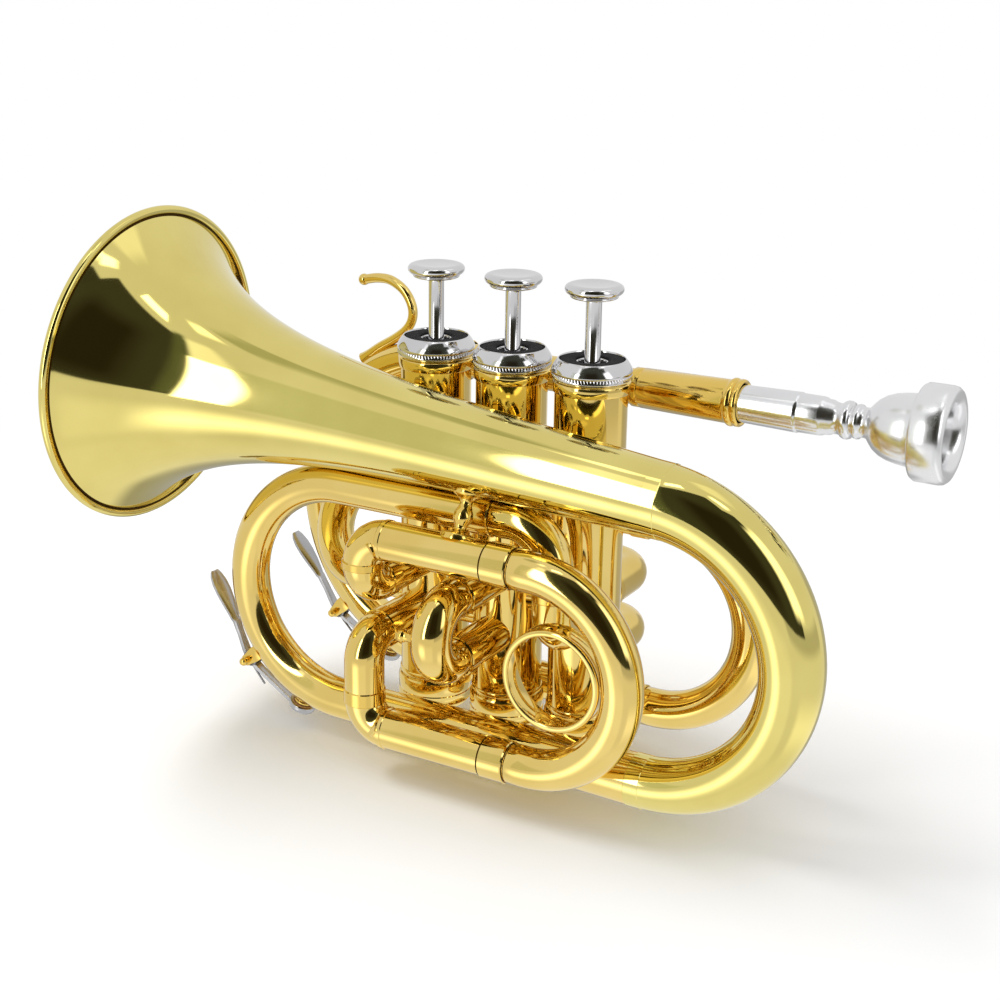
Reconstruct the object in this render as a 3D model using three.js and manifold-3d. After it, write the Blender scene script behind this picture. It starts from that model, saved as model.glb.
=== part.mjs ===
// Pocket trumpet in B flat: three piston valves, a twice-folded bell and
// slides that draw, as separate pieces. Millimetres, +Z up.
// -X is towards the bell, +X towards the player, -Y the player's left.
// The origin is on the axis of valve 2 at the height of the left hand's grip.
import * as THREE from 'three';
import { mergeVertices } from 'three/addons/utils/BufferGeometryUtils.js';
import Module from 'manifold-3d';

const wasm = await Module();
wasm.setup();

// Clearances and cuts
const seatGap = 0.3;
const slideFit = 0.12;
const pistonFit = 0.1;
const threadFit = 0.12;
const rodFit = 0.3;
const cutOverrun = 4;

// Facets round and along
const tubeSides = 10;
const bellSides = 24;
const bowSides = 16;
const valveSides = 16;
const rodSides = 10;
const elbowSteps = 3;
const bowSteps = 12;
const crookSteps = 10;
const smallCrookSteps = 6;
const bendSteps = 4;
const ballRings = 6;
const beadSides = 8;
const weldReach = 1e-4;

// Valve block
const valvePitch = 25;
const footHeight = -57;
const blockHeight = 113;
const casingRadius = 10.1;
const casingWall = 1;
const casingTopInset = 1.9;
const casingFootInset = 6;
const collarRadius = 10.75;
const collarHeight = 3.5;
const portBore = 4.7;
const capRadius = 11.1;
const capHeight = 5.4;
const capPlateInset = 2.1;
const capPlateThickness = 1.2;
const capShoulder = 2.8;
const capRimWidth = 1.7;
const hubRadius = 4.4;
const hubInset = 0.8;
const footCapRadius = 10.9;
const footCapSkirt = 3.5;
const footCapFloor = 2.2;
const footCapChamfer = 1.6;

// Pistons, stems, buttons, springs and guides
const stroke = 16;
const pistonTop = 18;
const pistonFoot = -38;
const barrelDrop = 5.4;
const barrelWall = 1.1;
const barrelInset = 0.15;
const tunnelRadius = 4.4;
const tunnelSides = 8;
const tunnelSteps = 6;
const tunnelBowShare = 0.38;
const stemRadius = 2.2;
const flangeRadius = 8.3;
const flangeThickness = 1.5;
const neckRadius = 4.3;
const stemRise = 15.7;
const neckHeight = 1.5;
const buttonRadius = 8.05;
const buttonHeight = 3.4;
const buttonEdge = 1;
const feltThickness = 1.4;
const guideBottom = 21.3;
const guideThickness = 2;
const guideRadius = 7.3;
const keyWidth = 3.2;
const keyReach = 9.6;
const slotPlay = 0.4;
const springRadius = 6;
const springWire = 0.5;
const springPitch = 3.67;
const springSteps = 8;
const springSides = 5;

// Heights of the ports on the valves
const inletHeight = -19;
const crossHigh = -16;
const crossLow = -24;
const thirdHigh = -8.6;
const thirdLow = -24;
const secondMiddle = -18.2;
const firstMiddle = -24;
const smallCrookRadius = 9;
const tailPortHeight = -18;

// Slide tubing
const sleeveRadius = 5.7;
const sleeveWall = 0.4;
const innerWall = 0.45;

// Bell: mouth, throat and taper
const bellSide = -25;
const bellReach = 109.4;
const bellTiltDegrees = 4.3;
const rimRadius = 47.1;
const beadRadius = 1.25;
const bellWall = 0.7;
const tailRadius = 5.7;
const taperRise = 8.8;
const taperLength = 440;
const taperPower = 1.49;
const flareLength = 31;
const flareShare = 0.93;
const lipLength = 6;

// Bell bow, bottom run and tail
const bellBowRadius = 40.9;
const bellBowX = 55.8;
const bowCentreHeight = -12.3;
const bottomSide = -22.5;
const tailBowShare = 0.817;
const tailBowX = -43.6;
const tailSide = -21;
const tailSeamX = 8;
const tailBendRadius = 13;
const dropX = 26;
const portElbowRadius = 7.2;

// Leadpipe, its bow and the main tuning slide
const leadHeight = 43.8;
const leadSide = 21;
const leadRadius = 5.1;
const leadWall = 0.5;
const leadBowRadius = 47.4;
const leadBowX = -32;
const tuningSide = 17.5;
const tuningRadius = 29;
const tuningX = 40;
const tuningSleeveEnd = 37;
const tuningInsert = 34;
const returnRadius = 14;
const returnX = -52;
const receiverStart = 28;
const receiverEnd = 61;
const receiverSmall = 5.55;
const receiverLarge = 6.1;
const receiverBead = 6.75;
const receiverBeadWidth = 2;
const receiverCollar = 6.4;
const receiverCollarWidth = 2.5;

// Mouthpiece: reaches from the valve 2 axis, shares of the way from the
// receiver's end to the bowl, and radii
const shankTip = 36;
const shankTipRadius = 4.75;
const shankMouthRadius = 5.2;
const shankSeamShare = 0.343;
const shankSeamRadius = 5.6;
const waistShare = 0.57;
const waistRadius = 4.3;
const ballShare = 0.606;
const ballRadius = 5.5;
const beadShare = 0.667;
const smallBeadRadius = 4.6;
const throatShare = 0.728;
const throatRadius = 4.1;
const bowlMiddleShare = 0.836;
const bowlMiddleRadius = 8.2;
const bowlX = 110.5;
const bowlRadius = 9.8;
const mouthRimRadius = 13.1;
const mouthRimLength = 9.1;
const mouthRimRound = 1.6;
const cupRadius = 8.2;
const cupDepth = 11;
const cupMiddleShare = 0.86;
const throatBore = 1.9;
const backBore = 4.1;

// Third slide
const thirdSide = -37.5;
const thirdUpper = 6.6;
const thirdLower = -50;
const thirdElbowRadius = 8;
const thirdSleeveStart = -17;
const thirdSleeveEnd = 23.4;
const thirdInsert = 34;
const thirdCrookX = 27.8;
const ringRadius = 14.3;
const ringWall = 1.7;
const ringWidth = 6.6;

// Second and first slides
const secondSleeveEnd = -29;
const secondCrookSide = -32.7;
const secondInsert = 16;
const firstSide = 33;
const firstElbowRadius = 7.5;
const firstSleeveEnd = -18;
const firstInsert = 30;
const firstCrookX = -22;
const knobRadius = 1.9;
const knobReach = 4.8;
const knobShares = [[0, 0], [0.8, 0], [0.8, 0.6], [1, 0.65], [1, 0.85], [0.7, 1], [0, 1]];

// Brace from the third slide to the bell
const braceX = 4.4;
const braceFootRadius = 5;
const braceSinkShare = 0.72;
const braceShares = [
  [0, 0], [1, 0], [1, 0.17], [0.34, 0.26], [0.5, 0.45], [0.5, 0.58], [0.34, 0.72], [0.8, 0.84], [0.8, 1], [0, 1],
];

// Finger hook: a bent rod, its points as x and z from its foot on the leadpipe's bow
const hookRod = 1.45;
const hookTipBall = 1.8;
const hookSteps = 18;
const hookSide = 21;
const hookFootDegrees = 36.9;
const hookWidth = 19;
const hookHeight = 25.6;
const hookOutlineShares = [
  [0, 0], [0.28, 0.17], [0.58, 0.31], [0.8, 0.44], [0.91, 0.58], [0.9, 0.74],
  [0.76, 0.9], [0.52, 1], [0.27, 1.01], [0, 0.97],
];

// Water keys: lengths from the pivot, along the bow and out from it
const nippleRadius = 3.1;
const nippleHeight = 1.1;
const nippleBore = 1.2;
const corkRadius = 3.3;
const corkThickness = 1.4;
const cupRadiusOut = 4.1;
const cupRoof = 0.8;
const cupSkirt = 1.3;
const pivotHeight = 4.2;
const pinRadius = 0.7;
const pinOverhang = 1.2;
const pinBall = 1.3;
const hingeRadius = 1.8;
const hingeWidth = 4;
const earThickness = 1.2;
const earWidth = 3.2;
const saddleThickness = 1.2;
const leverThickness = 1.3;
const leverSectionShares = [[-0.25, -0.5], [0.25, -0.5], [0.5, 0], [0.25, 0.5], [-0.25, 0.5], [-0.5, 0]];
const armShares = [[1, 1, 0.5], [0.5, 0.35, 0.4]];
const paddleShares = [
  [0, 0, 0.5], [0.44, 0.45, 0.45], [0.6, 0.62, 0.75], [0.8, 0.78, 1], [0.93, 0.92, 0.8], [1, 1, 0.3],
];
const paddleWidth = 5.8;
const paddleReach = 28.7;
const paddleDrop = 5.2;
const cupReach = 20;
const tailKeyDegrees = 39.5;
const leadKeyDegrees = 45;

// Vectors
const X = new THREE.Vector3(1, 0, 0);
const Y = new THREE.Vector3(0, 1, 0);
const Z = new THREE.Vector3(0, 0, 1);
const at = (x, y, z) => new THREE.Vector3(x, y, z);
const back = (v) => v.clone().negate();
const radians = THREE.MathUtils.degToRad;

// A route is a list of stations made of straight lines and round bends.
class Route {
  constructor(start, heading, side) {
    this.stations = [{ point: start.clone(), heading: heading.clone(), side: side.clone(), along: 0 }];
  }

  get end() {
    return this.stations[this.stations.length - 1];
  }

  line(length, steps = 1) {
    const from = this.end;
    for (let i = 1; i <= steps; i += 1) {
      const travel = (length * i) / steps;
      this.stations.push({
        point: from.point.clone().addScaledVector(from.heading, travel),
        heading: from.heading.clone(),
        side: from.side.clone(),
        along: from.along + travel,
      });
    }
    return this;
  }

  bend(toward, radius, degrees, steps = elbowSteps) {
    const from = this.end;
    const axis = from.heading.clone().cross(toward).normalize();
    const centre = from.point.clone().addScaledVector(toward, radius);
    const arm = from.point.clone().sub(centre);
    for (let i = 1; i <= steps; i += 1) {
      const turn = (radians(degrees) * i) / steps;
      this.stations.push({
        point: centre.clone().add(arm.clone().applyAxisAngle(axis, turn)),
        heading: from.heading.clone().applyAxisAngle(axis, turn),
        side: from.side.clone().applyAxisAngle(axis, turn),
        along: from.along + radius * turn,
      });
    }
    return this;
  }

  // Moves the stations sideways in Y, smoothly from the first to the last.
  lean(shift) {
    const length = this.end.along;
    for (const station of this.stations) {
      station.point.y += shift * smooth(station.along / length);
    }
    return this;
  }
}

const smooth = (share) => share * share * (3 - 2 * share);

// Turns a shape the right way out and leaves only its corners.
function outward(geometry) {
  const shape = geometry.clone();
  shape.deleteAttribute('normal');
  shape.deleteAttribute('uv');
  const merged = mergeVertices(shape, weldReach);
  const corners = merged.getAttribute('position');
  const order = Array.from(merged.getIndex().array);
  const kept = [];
  let volume = 0;
  const a = at(0, 0, 0);
  const b = at(0, 0, 0);
  const c = at(0, 0, 0);
  for (let i = 0; i < order.length; i += 3) {
    const [p, q, r] = [order[i], order[i + 1], order[i + 2]];
    if (p === q || q === r || r === p) continue;
    kept.push(p, q, r);
    a.fromBufferAttribute(corners, p);
    b.fromBufferAttribute(corners, q);
    c.fromBufferAttribute(corners, r);
    volume += a.dot(b.clone().cross(c));
  }
  if (volume < 0) kept.reverse();
  merged.setIndex(kept);
  return merged;
}

function solidOf(geometry) {
  const shape = outward(geometry);
  return new wasm.Manifold(new wasm.Mesh({
    numProp: 3,
    vertProperties: Float32Array.from(shape.getAttribute('position').array),
    triVerts: Uint32Array.from(shape.getIndex().array),
  }));
}

function geometryOf(solid) {
  const mesh = solid.getMesh();
  const geometry = new THREE.BufferGeometry();
  geometry.setAttribute('position', new THREE.BufferAttribute(mesh.vertProperties, 3));
  geometry.setIndex(new THREE.BufferAttribute(mesh.triVerts, 1));
  return geometry;
}

function cut(geometry, ...tools) {
  let solid = solidOf(geometry);
  for (const tool of tools) solid = solid.subtract(solidOf(tool));
  return geometryOf(solid);
}

function join(geometry, ...others) {
  let solid = solidOf(geometry);
  for (const other of others) solid = solid.add(solidOf(other));
  return geometryOf(solid);
}

// Joins rings of equal count into one closed skin.
function skin(rings, closed) {
  const count = rings[0].length;
  const corners = rings.flat();
  const faces = [];
  const spans = closed ? rings.length : rings.length - 1;
  for (let k = 0; k < spans; k += 1) {
    const low = k * count;
    const high = ((k + 1) % rings.length) * count;
    for (let j = 0; j < count; j += 1) {
      const next = (j + 1) % count;
      faces.push(low + j, low + next, high + next, low + j, high + next, high + j);
    }
  }
  if (!closed) {
    const last = (rings.length - 1) * count;
    for (let j = 1; j < count - 1; j += 1) {
      faces.push(0, j + 1, j, last, last + j, last + j + 1);
    }
  }
  const geometry = new THREE.BufferGeometry().setFromPoints(corners);
  geometry.setIndex(faces);
  return outward(geometry);
}

function ring(station, radius, sides) {
  const across = station.heading.clone().cross(station.side);
  const points = [];
  for (let j = 0; j < sides; j += 1) {
    const turn = (2 * Math.PI * j) / sides;
    points.push(station.point.clone()
      .addScaledVector(station.side, radius * Math.cos(turn))
      .addScaledVector(across, radius * Math.sin(turn)));
  }
  return points;
}

const valueAt = (size, along) => (typeof size === 'function' ? size(along) : size);

function rod(route, radius, sides = tubeSides) {
  return skin(route.stations.map((s) => ring(s, valueAt(radius, s.along), sides)), false);
}

function tube(route, outer, inner, sides = tubeSides) {
  const shell = route.stations.map((s) => ring(s, valueAt(outer, s.along), sides));
  const bore = route.stations.map((s) => ring(s, valueAt(inner, s.along), sides));
  return skin([...shell, ...bore.reverse()], true);
}

// A turned piece: its profile is radius and height pairs about the Z axis.
function turned(profile, sides = valveSides) {
  const points = profile.map(([radius, height]) => new THREE.Vector2(radius, height));
  const closed = points[0].x > 0 ? [...points, points[0].clone()] : points;
  return outward(new THREE.LatheGeometry(closed, sides).rotateX(Math.PI / 2));
}

function cylinder(radius, low, high, sides = valveSides) {
  return turned([[0, low], [radius, low], [radius, high], [0, high]], sides);
}

// Stands a turned piece on a point, with its axis along a direction.
function aimed(geometry, point, direction) {
  const turn = new THREE.Quaternion().setFromUnitVectors(Z, direction.clone().normalize());
  return geometry.clone().applyQuaternion(turn).translate(point.x, point.y, point.z);
}

// Finishes, one new material for each piece
const finishes = {
  lacqueredBrass: { color: 0xd9a520, roughness: 0.16, metalness: 1 },
  brightNickel: { color: 0xdadadc, roughness: 0.12, metalness: 1 },
  blackFelt: { color: 0x17150f, roughness: 1, metalness: 0 },
  springSteel: { color: 0x9a9a9c, roughness: 0.35, metalness: 1 },
  monel: { color: 0xb4b0a8, roughness: 0.25, metalness: 1 },
  whiteNylon: { color: 0xe8e6dc, roughness: 0.5, metalness: 0 },
  cork: { color: 0xa9835a, roughness: 0.9, metalness: 0 },
};

const trumpet = new THREE.Group();

function place(name, geometry, finish, x = 0, y = 0, z = 0) {
  const mesh = new THREE.Mesh(outward(geometry), new THREE.MeshStandardMaterial(finishes[finish]));
  mesh.name = name;
  mesh.position.set(x, y, z);
  trumpet.add(mesh);
}

// Valve 3 is nearest the bell and valve 1 nearest the player.
const valveX = { 1: valvePitch, 2: 0, 3: -valvePitch };
const capTop = footHeight + blockHeight;
const casingBore = casingRadius - casingWall;
const casingTop = capTop - casingTopInset;
const casingFoot = footHeight + casingFootInset;
const barrelTop = capTop - barrelDrop;
const neckBottom = capTop + stemRise;
const buttonRimBottom = neckBottom + neckHeight;
const buttonTop = buttonRimBottom + buttonHeight;
const secondHigh = secondMiddle + smallCrookRadius;
const secondLow = secondMiddle - smallCrookRadius;
const firstHigh = firstMiddle + smallCrookRadius;
const firstLow = firstMiddle - smallCrookRadius;

// Each port: the way it faces from the valve axis, and its height.
const ports = {
  1: { cross: [back(X), crossHigh], tail: [back(Y), tailPortHeight], high: [Y, firstHigh], low: [Y, firstLow] },
  2: { entry: [back(X), crossLow], cross: [X, crossHigh], high: [back(Y), secondHigh], low: [back(Y), secondLow] },
  3: { entry: [back(X), inletHeight], cross: [X, crossLow], high: [back(Y), thirdHigh], low: [back(Y), thirdLow] },
};

// The ways through each piston: pairs of ports open when it is up or down.
const passages = {
  1: { up: [['cross', 'tail']], down: [['cross', 'high'], ['low', 'tail']] },
  2: { up: [['entry', 'cross']], down: [['entry', 'low'], ['high', 'cross']] },
  3: { up: [['entry', 'cross']], down: [['entry', 'high'], ['low', 'cross']] },
};

function casing(number) {
  const sheath = turned([
    [casingBore, casingFoot], [casingRadius, casingFoot],
    [casingRadius, capTop - capHeight - collarHeight],
    [collarRadius, capTop - capHeight - collarHeight + seatGap],
    [collarRadius, capTop - capHeight - seatGap],
    [casingRadius, capTop - capHeight - seatGap],
    [casingRadius, casingTop], [casingBore, casingTop],
  ]);
  const holes = Object.values(ports[number]).map(([way, height]) => (
    aimed(cylinder(portBore, casingBore - cutOverrun, casingRadius + cutOverrun, tunnelSides),
      at(0, 0, height), way)));
  const keyway = new THREE.BoxGeometry(2 * (keyReach + threadFit), keyWidth + 2 * threadFit,
    guideThickness + 2 * threadFit).translate(0, 0, guideBottom + guideThickness / 2);
  return cut(sheath, keyway, ...holes);
}

function topCap() {
  const plate = capTop - capPlateInset;
  const skirtBore = casingRadius + threadFit;
  const plugRadius = casingBore - threadFit;
  return turned([
    [stemRadius + rodFit, plate - capPlateThickness], [plugRadius, plate - capPlateThickness],
    [plugRadius, casingTop + threadFit], [skirtBore, casingTop + threadFit],
    [skirtBore, capTop - capHeight], [capRadius, capTop - capHeight],
    [capRadius, capTop - capShoulder], [capRadius - capRimWidth / 2, capTop - capShoulder / 3],
    [capRadius - capRimWidth, capTop], [casingBore, capTop - threadFit], [casingBore, plate],
    [hubRadius, plate], [hubRadius, capTop - hubInset], [stemRadius + rodFit, capTop - hubInset],
  ]);
}

function footCap() {
  const skirtBore = casingRadius + threadFit;
  return turned([
    [0, footHeight], [footCapRadius - footCapChamfer, footHeight],
    [footCapRadius, footHeight + footCapChamfer], [footCapRadius, casingFoot + footCapSkirt],
    [skirtBore, casingFoot + footCapSkirt], [skirtBore, casingFoot - threadFit],
    [casingBore, casingFoot - threadFit], [casingBore, footHeight + footCapFloor],
    [0, footHeight + footCapFloor],
  ]);
}

function felt() {
  const plate = capTop - capPlateInset;
  const innerRadius = hubRadius + threadFit;
  const outerRadius = casingBore - threadFit;
  return turned([
    [innerRadius, plate], [outerRadius, plate],
    [outerRadius, plate + feltThickness], [innerRadius, plate + feltThickness],
  ]);
}

// One way through a piston, bent from the mouth of one port to another.
function tunnel(number, [from, to], lift) {
  const reach = casingRadius;
  const [fromWay, fromHeight] = ports[number][from];
  const [toWay, toHeight] = ports[number][to];
  const start = fromWay.clone().multiplyScalar(reach).add(at(0, 0, fromHeight + lift));
  const end = toWay.clone().multiplyScalar(reach).add(at(0, 0, toHeight + lift));
  const straight = fromWay.dot(toWay) < 0;
  const middle = straight
    ? start.clone().lerp(end, 0.5)
    : at(0, 0, (fromHeight + toHeight) / 2 + lift)
      .add(start.clone().add(end).setZ(0).multiplyScalar(tunnelBowShare));
  const line = straight
    ? new THREE.LineCurve3(start, end)
    : new THREE.CatmullRomCurve3([
      start.clone().addScaledVector(fromWay, cutOverrun), start, middle, end,
      end.clone().addScaledVector(toWay, cutOverrun),
    ]);
  const disc = new THREE.Shape();
  for (let j = 0; j < tunnelSides; j += 1) {
    const turn = (2 * Math.PI * (j + 0.5)) / tunnelSides;
    const corner = [tunnelRadius * Math.cos(turn), tunnelRadius * Math.sin(turn)];
    if (j === 0) disc.moveTo(...corner);
    else disc.lineTo(...corner);
  }
  const steps = straight ? 1 : tunnelSteps;
  return new THREE.ExtrudeGeometry(disc, { steps, extrudePath: line, bevelEnabled: false });
}

const pistonRadius = casingBore - pistonFit;
const barrelOuter = pistonRadius - barrelInset;
const barrelBore = barrelOuter - barrelWall;

function piston(number) {
  const body = turned([
    [0, pistonFoot], [pistonRadius, pistonFoot], [pistonRadius, pistonTop],
    [barrelOuter, pistonTop + barrelInset], [barrelOuter, barrelTop], [barrelBore, barrelTop],
    [barrelBore, pistonTop + barrelInset], [0, pistonTop + barrelInset],
  ]);
  const slotHeight = guideThickness + 2 * slotPlay + stroke;
  const slot = new THREE.BoxGeometry(2 * casingRadius, keyWidth + 2 * slotPlay, slotHeight)
    .translate(0, 0, guideBottom - slotPlay + slotHeight / 2);
  const ways = [
    ...passages[number].up.map((pair) => tunnel(number, pair, 0)),
    ...passages[number].down.map((pair) => tunnel(number, pair, stroke)),
  ];
  return cut(body, slot, ...ways);
}

function stem() {
  return turned([
    [0, barrelTop], [flangeRadius, barrelTop], [flangeRadius, barrelTop + flangeThickness],
    [stemRadius, barrelTop + flangeThickness], [stemRadius, neckBottom], [0, neckBottom],
  ], valveSides);
}

function button() {
  const middle = (buttonRimBottom + buttonTop) / 2;
  return turned([
    [0, neckBottom], [stemRadius + rodFit, neckBottom], [neckRadius, buttonRimBottom - buttonEdge / 2],
    [buttonRadius - 2 * buttonEdge, buttonRimBottom], [buttonRadius - buttonEdge / 2, middle - buttonEdge],
    [buttonRadius, middle], [buttonRadius - buttonEdge / 2, middle + buttonEdge],
    [buttonRadius - 2 * buttonEdge, buttonTop - buttonEdge / 2], [neckRadius, buttonTop - buttonEdge / 4],
    [0, buttonTop - buttonEdge / 4],
  ]);
}

function guide() {
  const disc = cylinder(guideRadius, guideBottom, guideBottom + guideThickness, valveSides);
  const key = new THREE.BoxGeometry(2 * keyReach, keyWidth, guideThickness)
    .translate(0, 0, guideBottom + guideThickness / 2);
  return join(disc, key);
}

// A valve spring: one unbroken wire with straight ends a wire's diameter long.
function springRoute() {
  const low = guideBottom + guideThickness + springWire + seatGap;
  const high = barrelTop - springWire - seatGap;
  const count = Math.round((high - low) / springPitch) * springSteps;
  const rise = (high - low) / count;
  const stations = [];
  const climb = Math.atan2(rise * springSteps, 2 * Math.PI * springRadius);
  for (let i = 0; i <= count; i += 1) {
    const turn = (2 * Math.PI * i) / springSteps;
    const outwards = at(Math.cos(turn), Math.sin(turn), 0);
    const heading = at(-Math.sin(turn), Math.cos(turn), 0)
      .multiplyScalar(Math.cos(climb)).addScaledVector(Z, Math.sin(climb));
    const point = outwards.clone().multiplyScalar(springRadius).add(at(0, 0, low + rise * i));
    stations.push({ point, heading, side: outwards, along: i });
  }
  const first = stations[0];
  const last = stations[count];
  const extra = (station, way) => ({
    ...station, point: station.point.clone().addScaledVector(station.heading, way * 2 * springWire),
  });
  return { stations: [extra(first, -1), ...stations, extra(last, 1)] };
}

function leastSpringGap() {
  const { stations } = springRoute();
  let least = Infinity;
  for (let i = 0; i < stations.length; i += 1) {
    for (let j = i + Math.round(springSteps / 2); j < stations.length; j += 1) {
      least = Math.min(least, stations[i].point.distanceTo(stations[j].point));
    }
  }
  return least - 2 * springWire;
}

for (const number of [1, 2, 3]) {
  const x = valveX[number];
  place(`casing_${number}`, casing(number), 'lacqueredBrass', x);
  place(`top_cap_${number}`, topCap(), 'brightNickel', x);
  place(`bottom_cap_${number}`, footCap(), 'brightNickel', x);
  place(`cap_felt_${number}`, felt(), 'blackFelt', x);
  place(`piston_${number}`, piston(number), 'monel', x);
  place(`stem_${number}`, stem(), 'brightNickel', x);
  place(`button_${number}`, button(), 'brightNickel', x);
  place(`valve_guide_${number}`, guide(), 'whiteNylon', x);
  place(`valve_spring_${number}`, rod(springRoute(), springWire, springSides), 'springSteel', x);
}
console.log(`valve spring: least gap between turns ${leastSpringGap().toFixed(2)} mm`);

// What a port tube must stay clear of: its own casing.
function clearOfCasing(number) {
  return cylinder(casingRadius + seatGap, footHeight, capTop).translate(valveX[number], 0, 0);
}

// Short knuckles that join the casings
const innerRadius = sleeveRadius - sleeveWall - slideFit;
const innerBore = innerRadius - innerWall;
const sleeveBore = sleeveRadius - sleeveWall;

function knuckle(left, right, height) {
  const route = new Route(at(valveX[left], 0, height), X, Y).line(valvePitch);
  return cut(tube(route, innerRadius, innerBore), clearOfCasing(left), clearOfCasing(right));
}
place('knuckle_3_2', knuckle(3, 2, crossLow), 'lacqueredBrass');
place('knuckle_2_1', knuckle(2, 1, crossHigh), 'lacqueredBrass');

// Bell, bow and tail are one long taper, measured from the mouth.
const bellTilt = radians(bellTiltDegrees);
const bottomHeight = bowCentreHeight - bellBowRadius;
const tailBowRadius = bellBowRadius * tailBowShare;
const bellEndX = bellBowX + bellBowRadius * Math.sin(bellTilt);
const bellLength = (bellEndX + bellReach) / Math.cos(bellTilt);
const bellHeading = at(Math.cos(bellTilt), 0, -Math.sin(bellTilt));
const bellEnd = at(bellEndX, bellSide, bowCentreHeight + bellBowRadius * Math.cos(bellTilt));
const bellMouth = bellEnd.clone().addScaledVector(bellHeading, -bellLength);
const bowLength = bellBowRadius * (Math.PI - bellTilt);

function bellRadius(along) {
  const taper = taperRise * Math.max(0, 1 - along / taperLength) ** taperPower;
  const flare = rimRadius - beadRadius - tailRadius - taperRise;
  const curve = flareShare * Math.exp(-along / flareLength)
    + (1 - flareShare) * Math.exp(-along / lipLength);
  return tailRadius + taper + flare * curve;
}

const flareStationShares = [0, 0.015, 0.035, 0.065, 0.1, 0.15, 0.21, 0.3, 0.42, 0.6, 1];

function bellRoute() {
  const route = new Route(bellMouth, bellHeading, Y);
  flareStationShares.slice(1).forEach((share, i) => {
    route.line((share - flareStationShares[i]) * (bellLength - seatGap));
  });
  return route;
}

function bell() {
  const horn = tube(bellRoute(), bellRadius, (s) => bellRadius(s) - bellWall, bellSides);
  const bead = new THREE.TorusGeometry(rimRadius - beadRadius, beadRadius, beadSides, bellSides);
  const mouth = bellMouth.clone().addScaledVector(bellHeading, beadRadius / 2);
  return join(horn, aimed(bead, mouth, bellHeading));
}
place('bell', bell(), 'lacqueredBrass');

const turnedDown = at(-Math.sin(bellTilt), 0, -Math.cos(bellTilt));
const bowRoute = () => new Route(bellEnd, bellHeading, Y)
  .bend(turnedDown, bellBowRadius, 180 - bellTiltDegrees, bowSteps)
  .lean(bottomSide - bellSide);
place('bell_bow', tube(bowRoute(), (s) => bellRadius(bellLength + s),
  (s) => bellRadius(bellLength + s) - bellWall, bowSides), 'lacqueredBrass');

const tailStart = at(bellBowX - seatGap, bottomSide, bottomHeight);
const runLength = bellBowX - seatGap - tailBowX;
const tailFrom = bellLength + bowLength + seatGap;
const tailTop = bottomHeight + 2 * tailBowRadius;
function tailRoute() {
  return new Route(tailStart, back(X), Y)
    .line(runLength, 3)
    .bend(Z, tailBowRadius, 180, bowSteps)
    .line(tailSeamX - tailBowX)
    .lean(tailSide - bottomSide);
}
const tailTaper = (s) => bellRadius(tailFrom + s);

// The tail turns down and enters the side of valve 1.
function tailElbowRoute() {
  const bendStart = dropX - tailBendRadius;
  return new Route(at(tailSeamX + seatGap, tailSide, tailTop), X, Y)
    .line(bendStart - tailSeamX - seatGap)
    .bend(back(Z), tailBendRadius, 90, bendSteps)
    .line(tailTop - tailBendRadius - tailPortHeight - portElbowRadius)
    .bend(Y, portElbowRadius, 90)
    .line(-tailSide - portElbowRadius);
}
const tailElbow = cut(tube(tailElbowRoute(), tailRadius, tailRadius - bellWall), clearOfCasing(1));
place('tail_elbow', tailElbow, 'lacqueredBrass');

// Leadpipe along the far side, its bow and the main tuning slide
const leadFoot = leadHeight - 2 * leadBowRadius;
place('leadpipe', tube(new Route(at(receiverStart - seatGap, leadSide, leadHeight), back(X), Y)
  .line(receiverStart - seatGap - leadBowX - seatGap), leadRadius, leadRadius - leadWall), 'lacqueredBrass');

const leadBowRoute = () => new Route(at(leadBowX, leadSide, leadHeight), back(X), Y)
  .bend(back(Z), leadBowRadius, 180, bowSteps)
  .lean(tuningSide - leadSide);

const tuningUpper = leadFoot + 2 * tuningRadius;
place('tuning_sleeve_lower', tube(new Route(at(leadBowX + seatGap, tuningSide, leadFoot), X, Y)
  .line(tuningSleeveEnd - leadBowX - seatGap), sleeveRadius, sleeveBore), 'lacqueredBrass');
place('tuning_sleeve_upper', tube(new Route(at(tuningSleeveEnd, tuningSide, tuningUpper), back(X), Y)
  .line(tuningSleeveEnd - returnX - seatGap), sleeveRadius, sleeveBore), 'lacqueredBrass');

// A slide's crook: two inner legs and a bow as wide as the sleeves.
function crook(start, heading, toward, side, insert, straight, radius, steps) {
  const legFrom = start.clone().addScaledVector(heading, -insert);
  const whole = new Route(legFrom, heading, side).line(insert + straight)
    .bend(toward, radius, 180, steps).line(straight + insert);
  const bow = new Route(start, heading, side).line(straight)
    .bend(toward, radius, 180, steps).line(straight);
  return join(tube(whole, innerRadius, innerBore), tube(bow, sleeveRadius, (innerRadius + innerBore) / 2));
}

const tuningCrook = crook(at(tuningSleeveEnd + seatGap, tuningSide, leadFoot), X, Z, Y,
  tuningInsert, tuningX - tuningSleeveEnd - seatGap, tuningRadius, crookSteps);
place('tuning_crook', tuningCrook, 'lacqueredBrass');

// From the tuning slide's upper leg down and round into valve 3
function returnRoute() {
  return new Route(at(returnX, tuningSide, tuningUpper), back(X), Y)
    .bend(back(Z), returnRadius, 180, 2 * bendSteps)
    .lean(-tuningSide)
    .line(-valvePitch - returnX);
}
place('return_bow', cut(tube(returnRoute(), sleeveRadius, innerBore), clearOfCasing(3)), 'lacqueredBrass');

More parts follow.
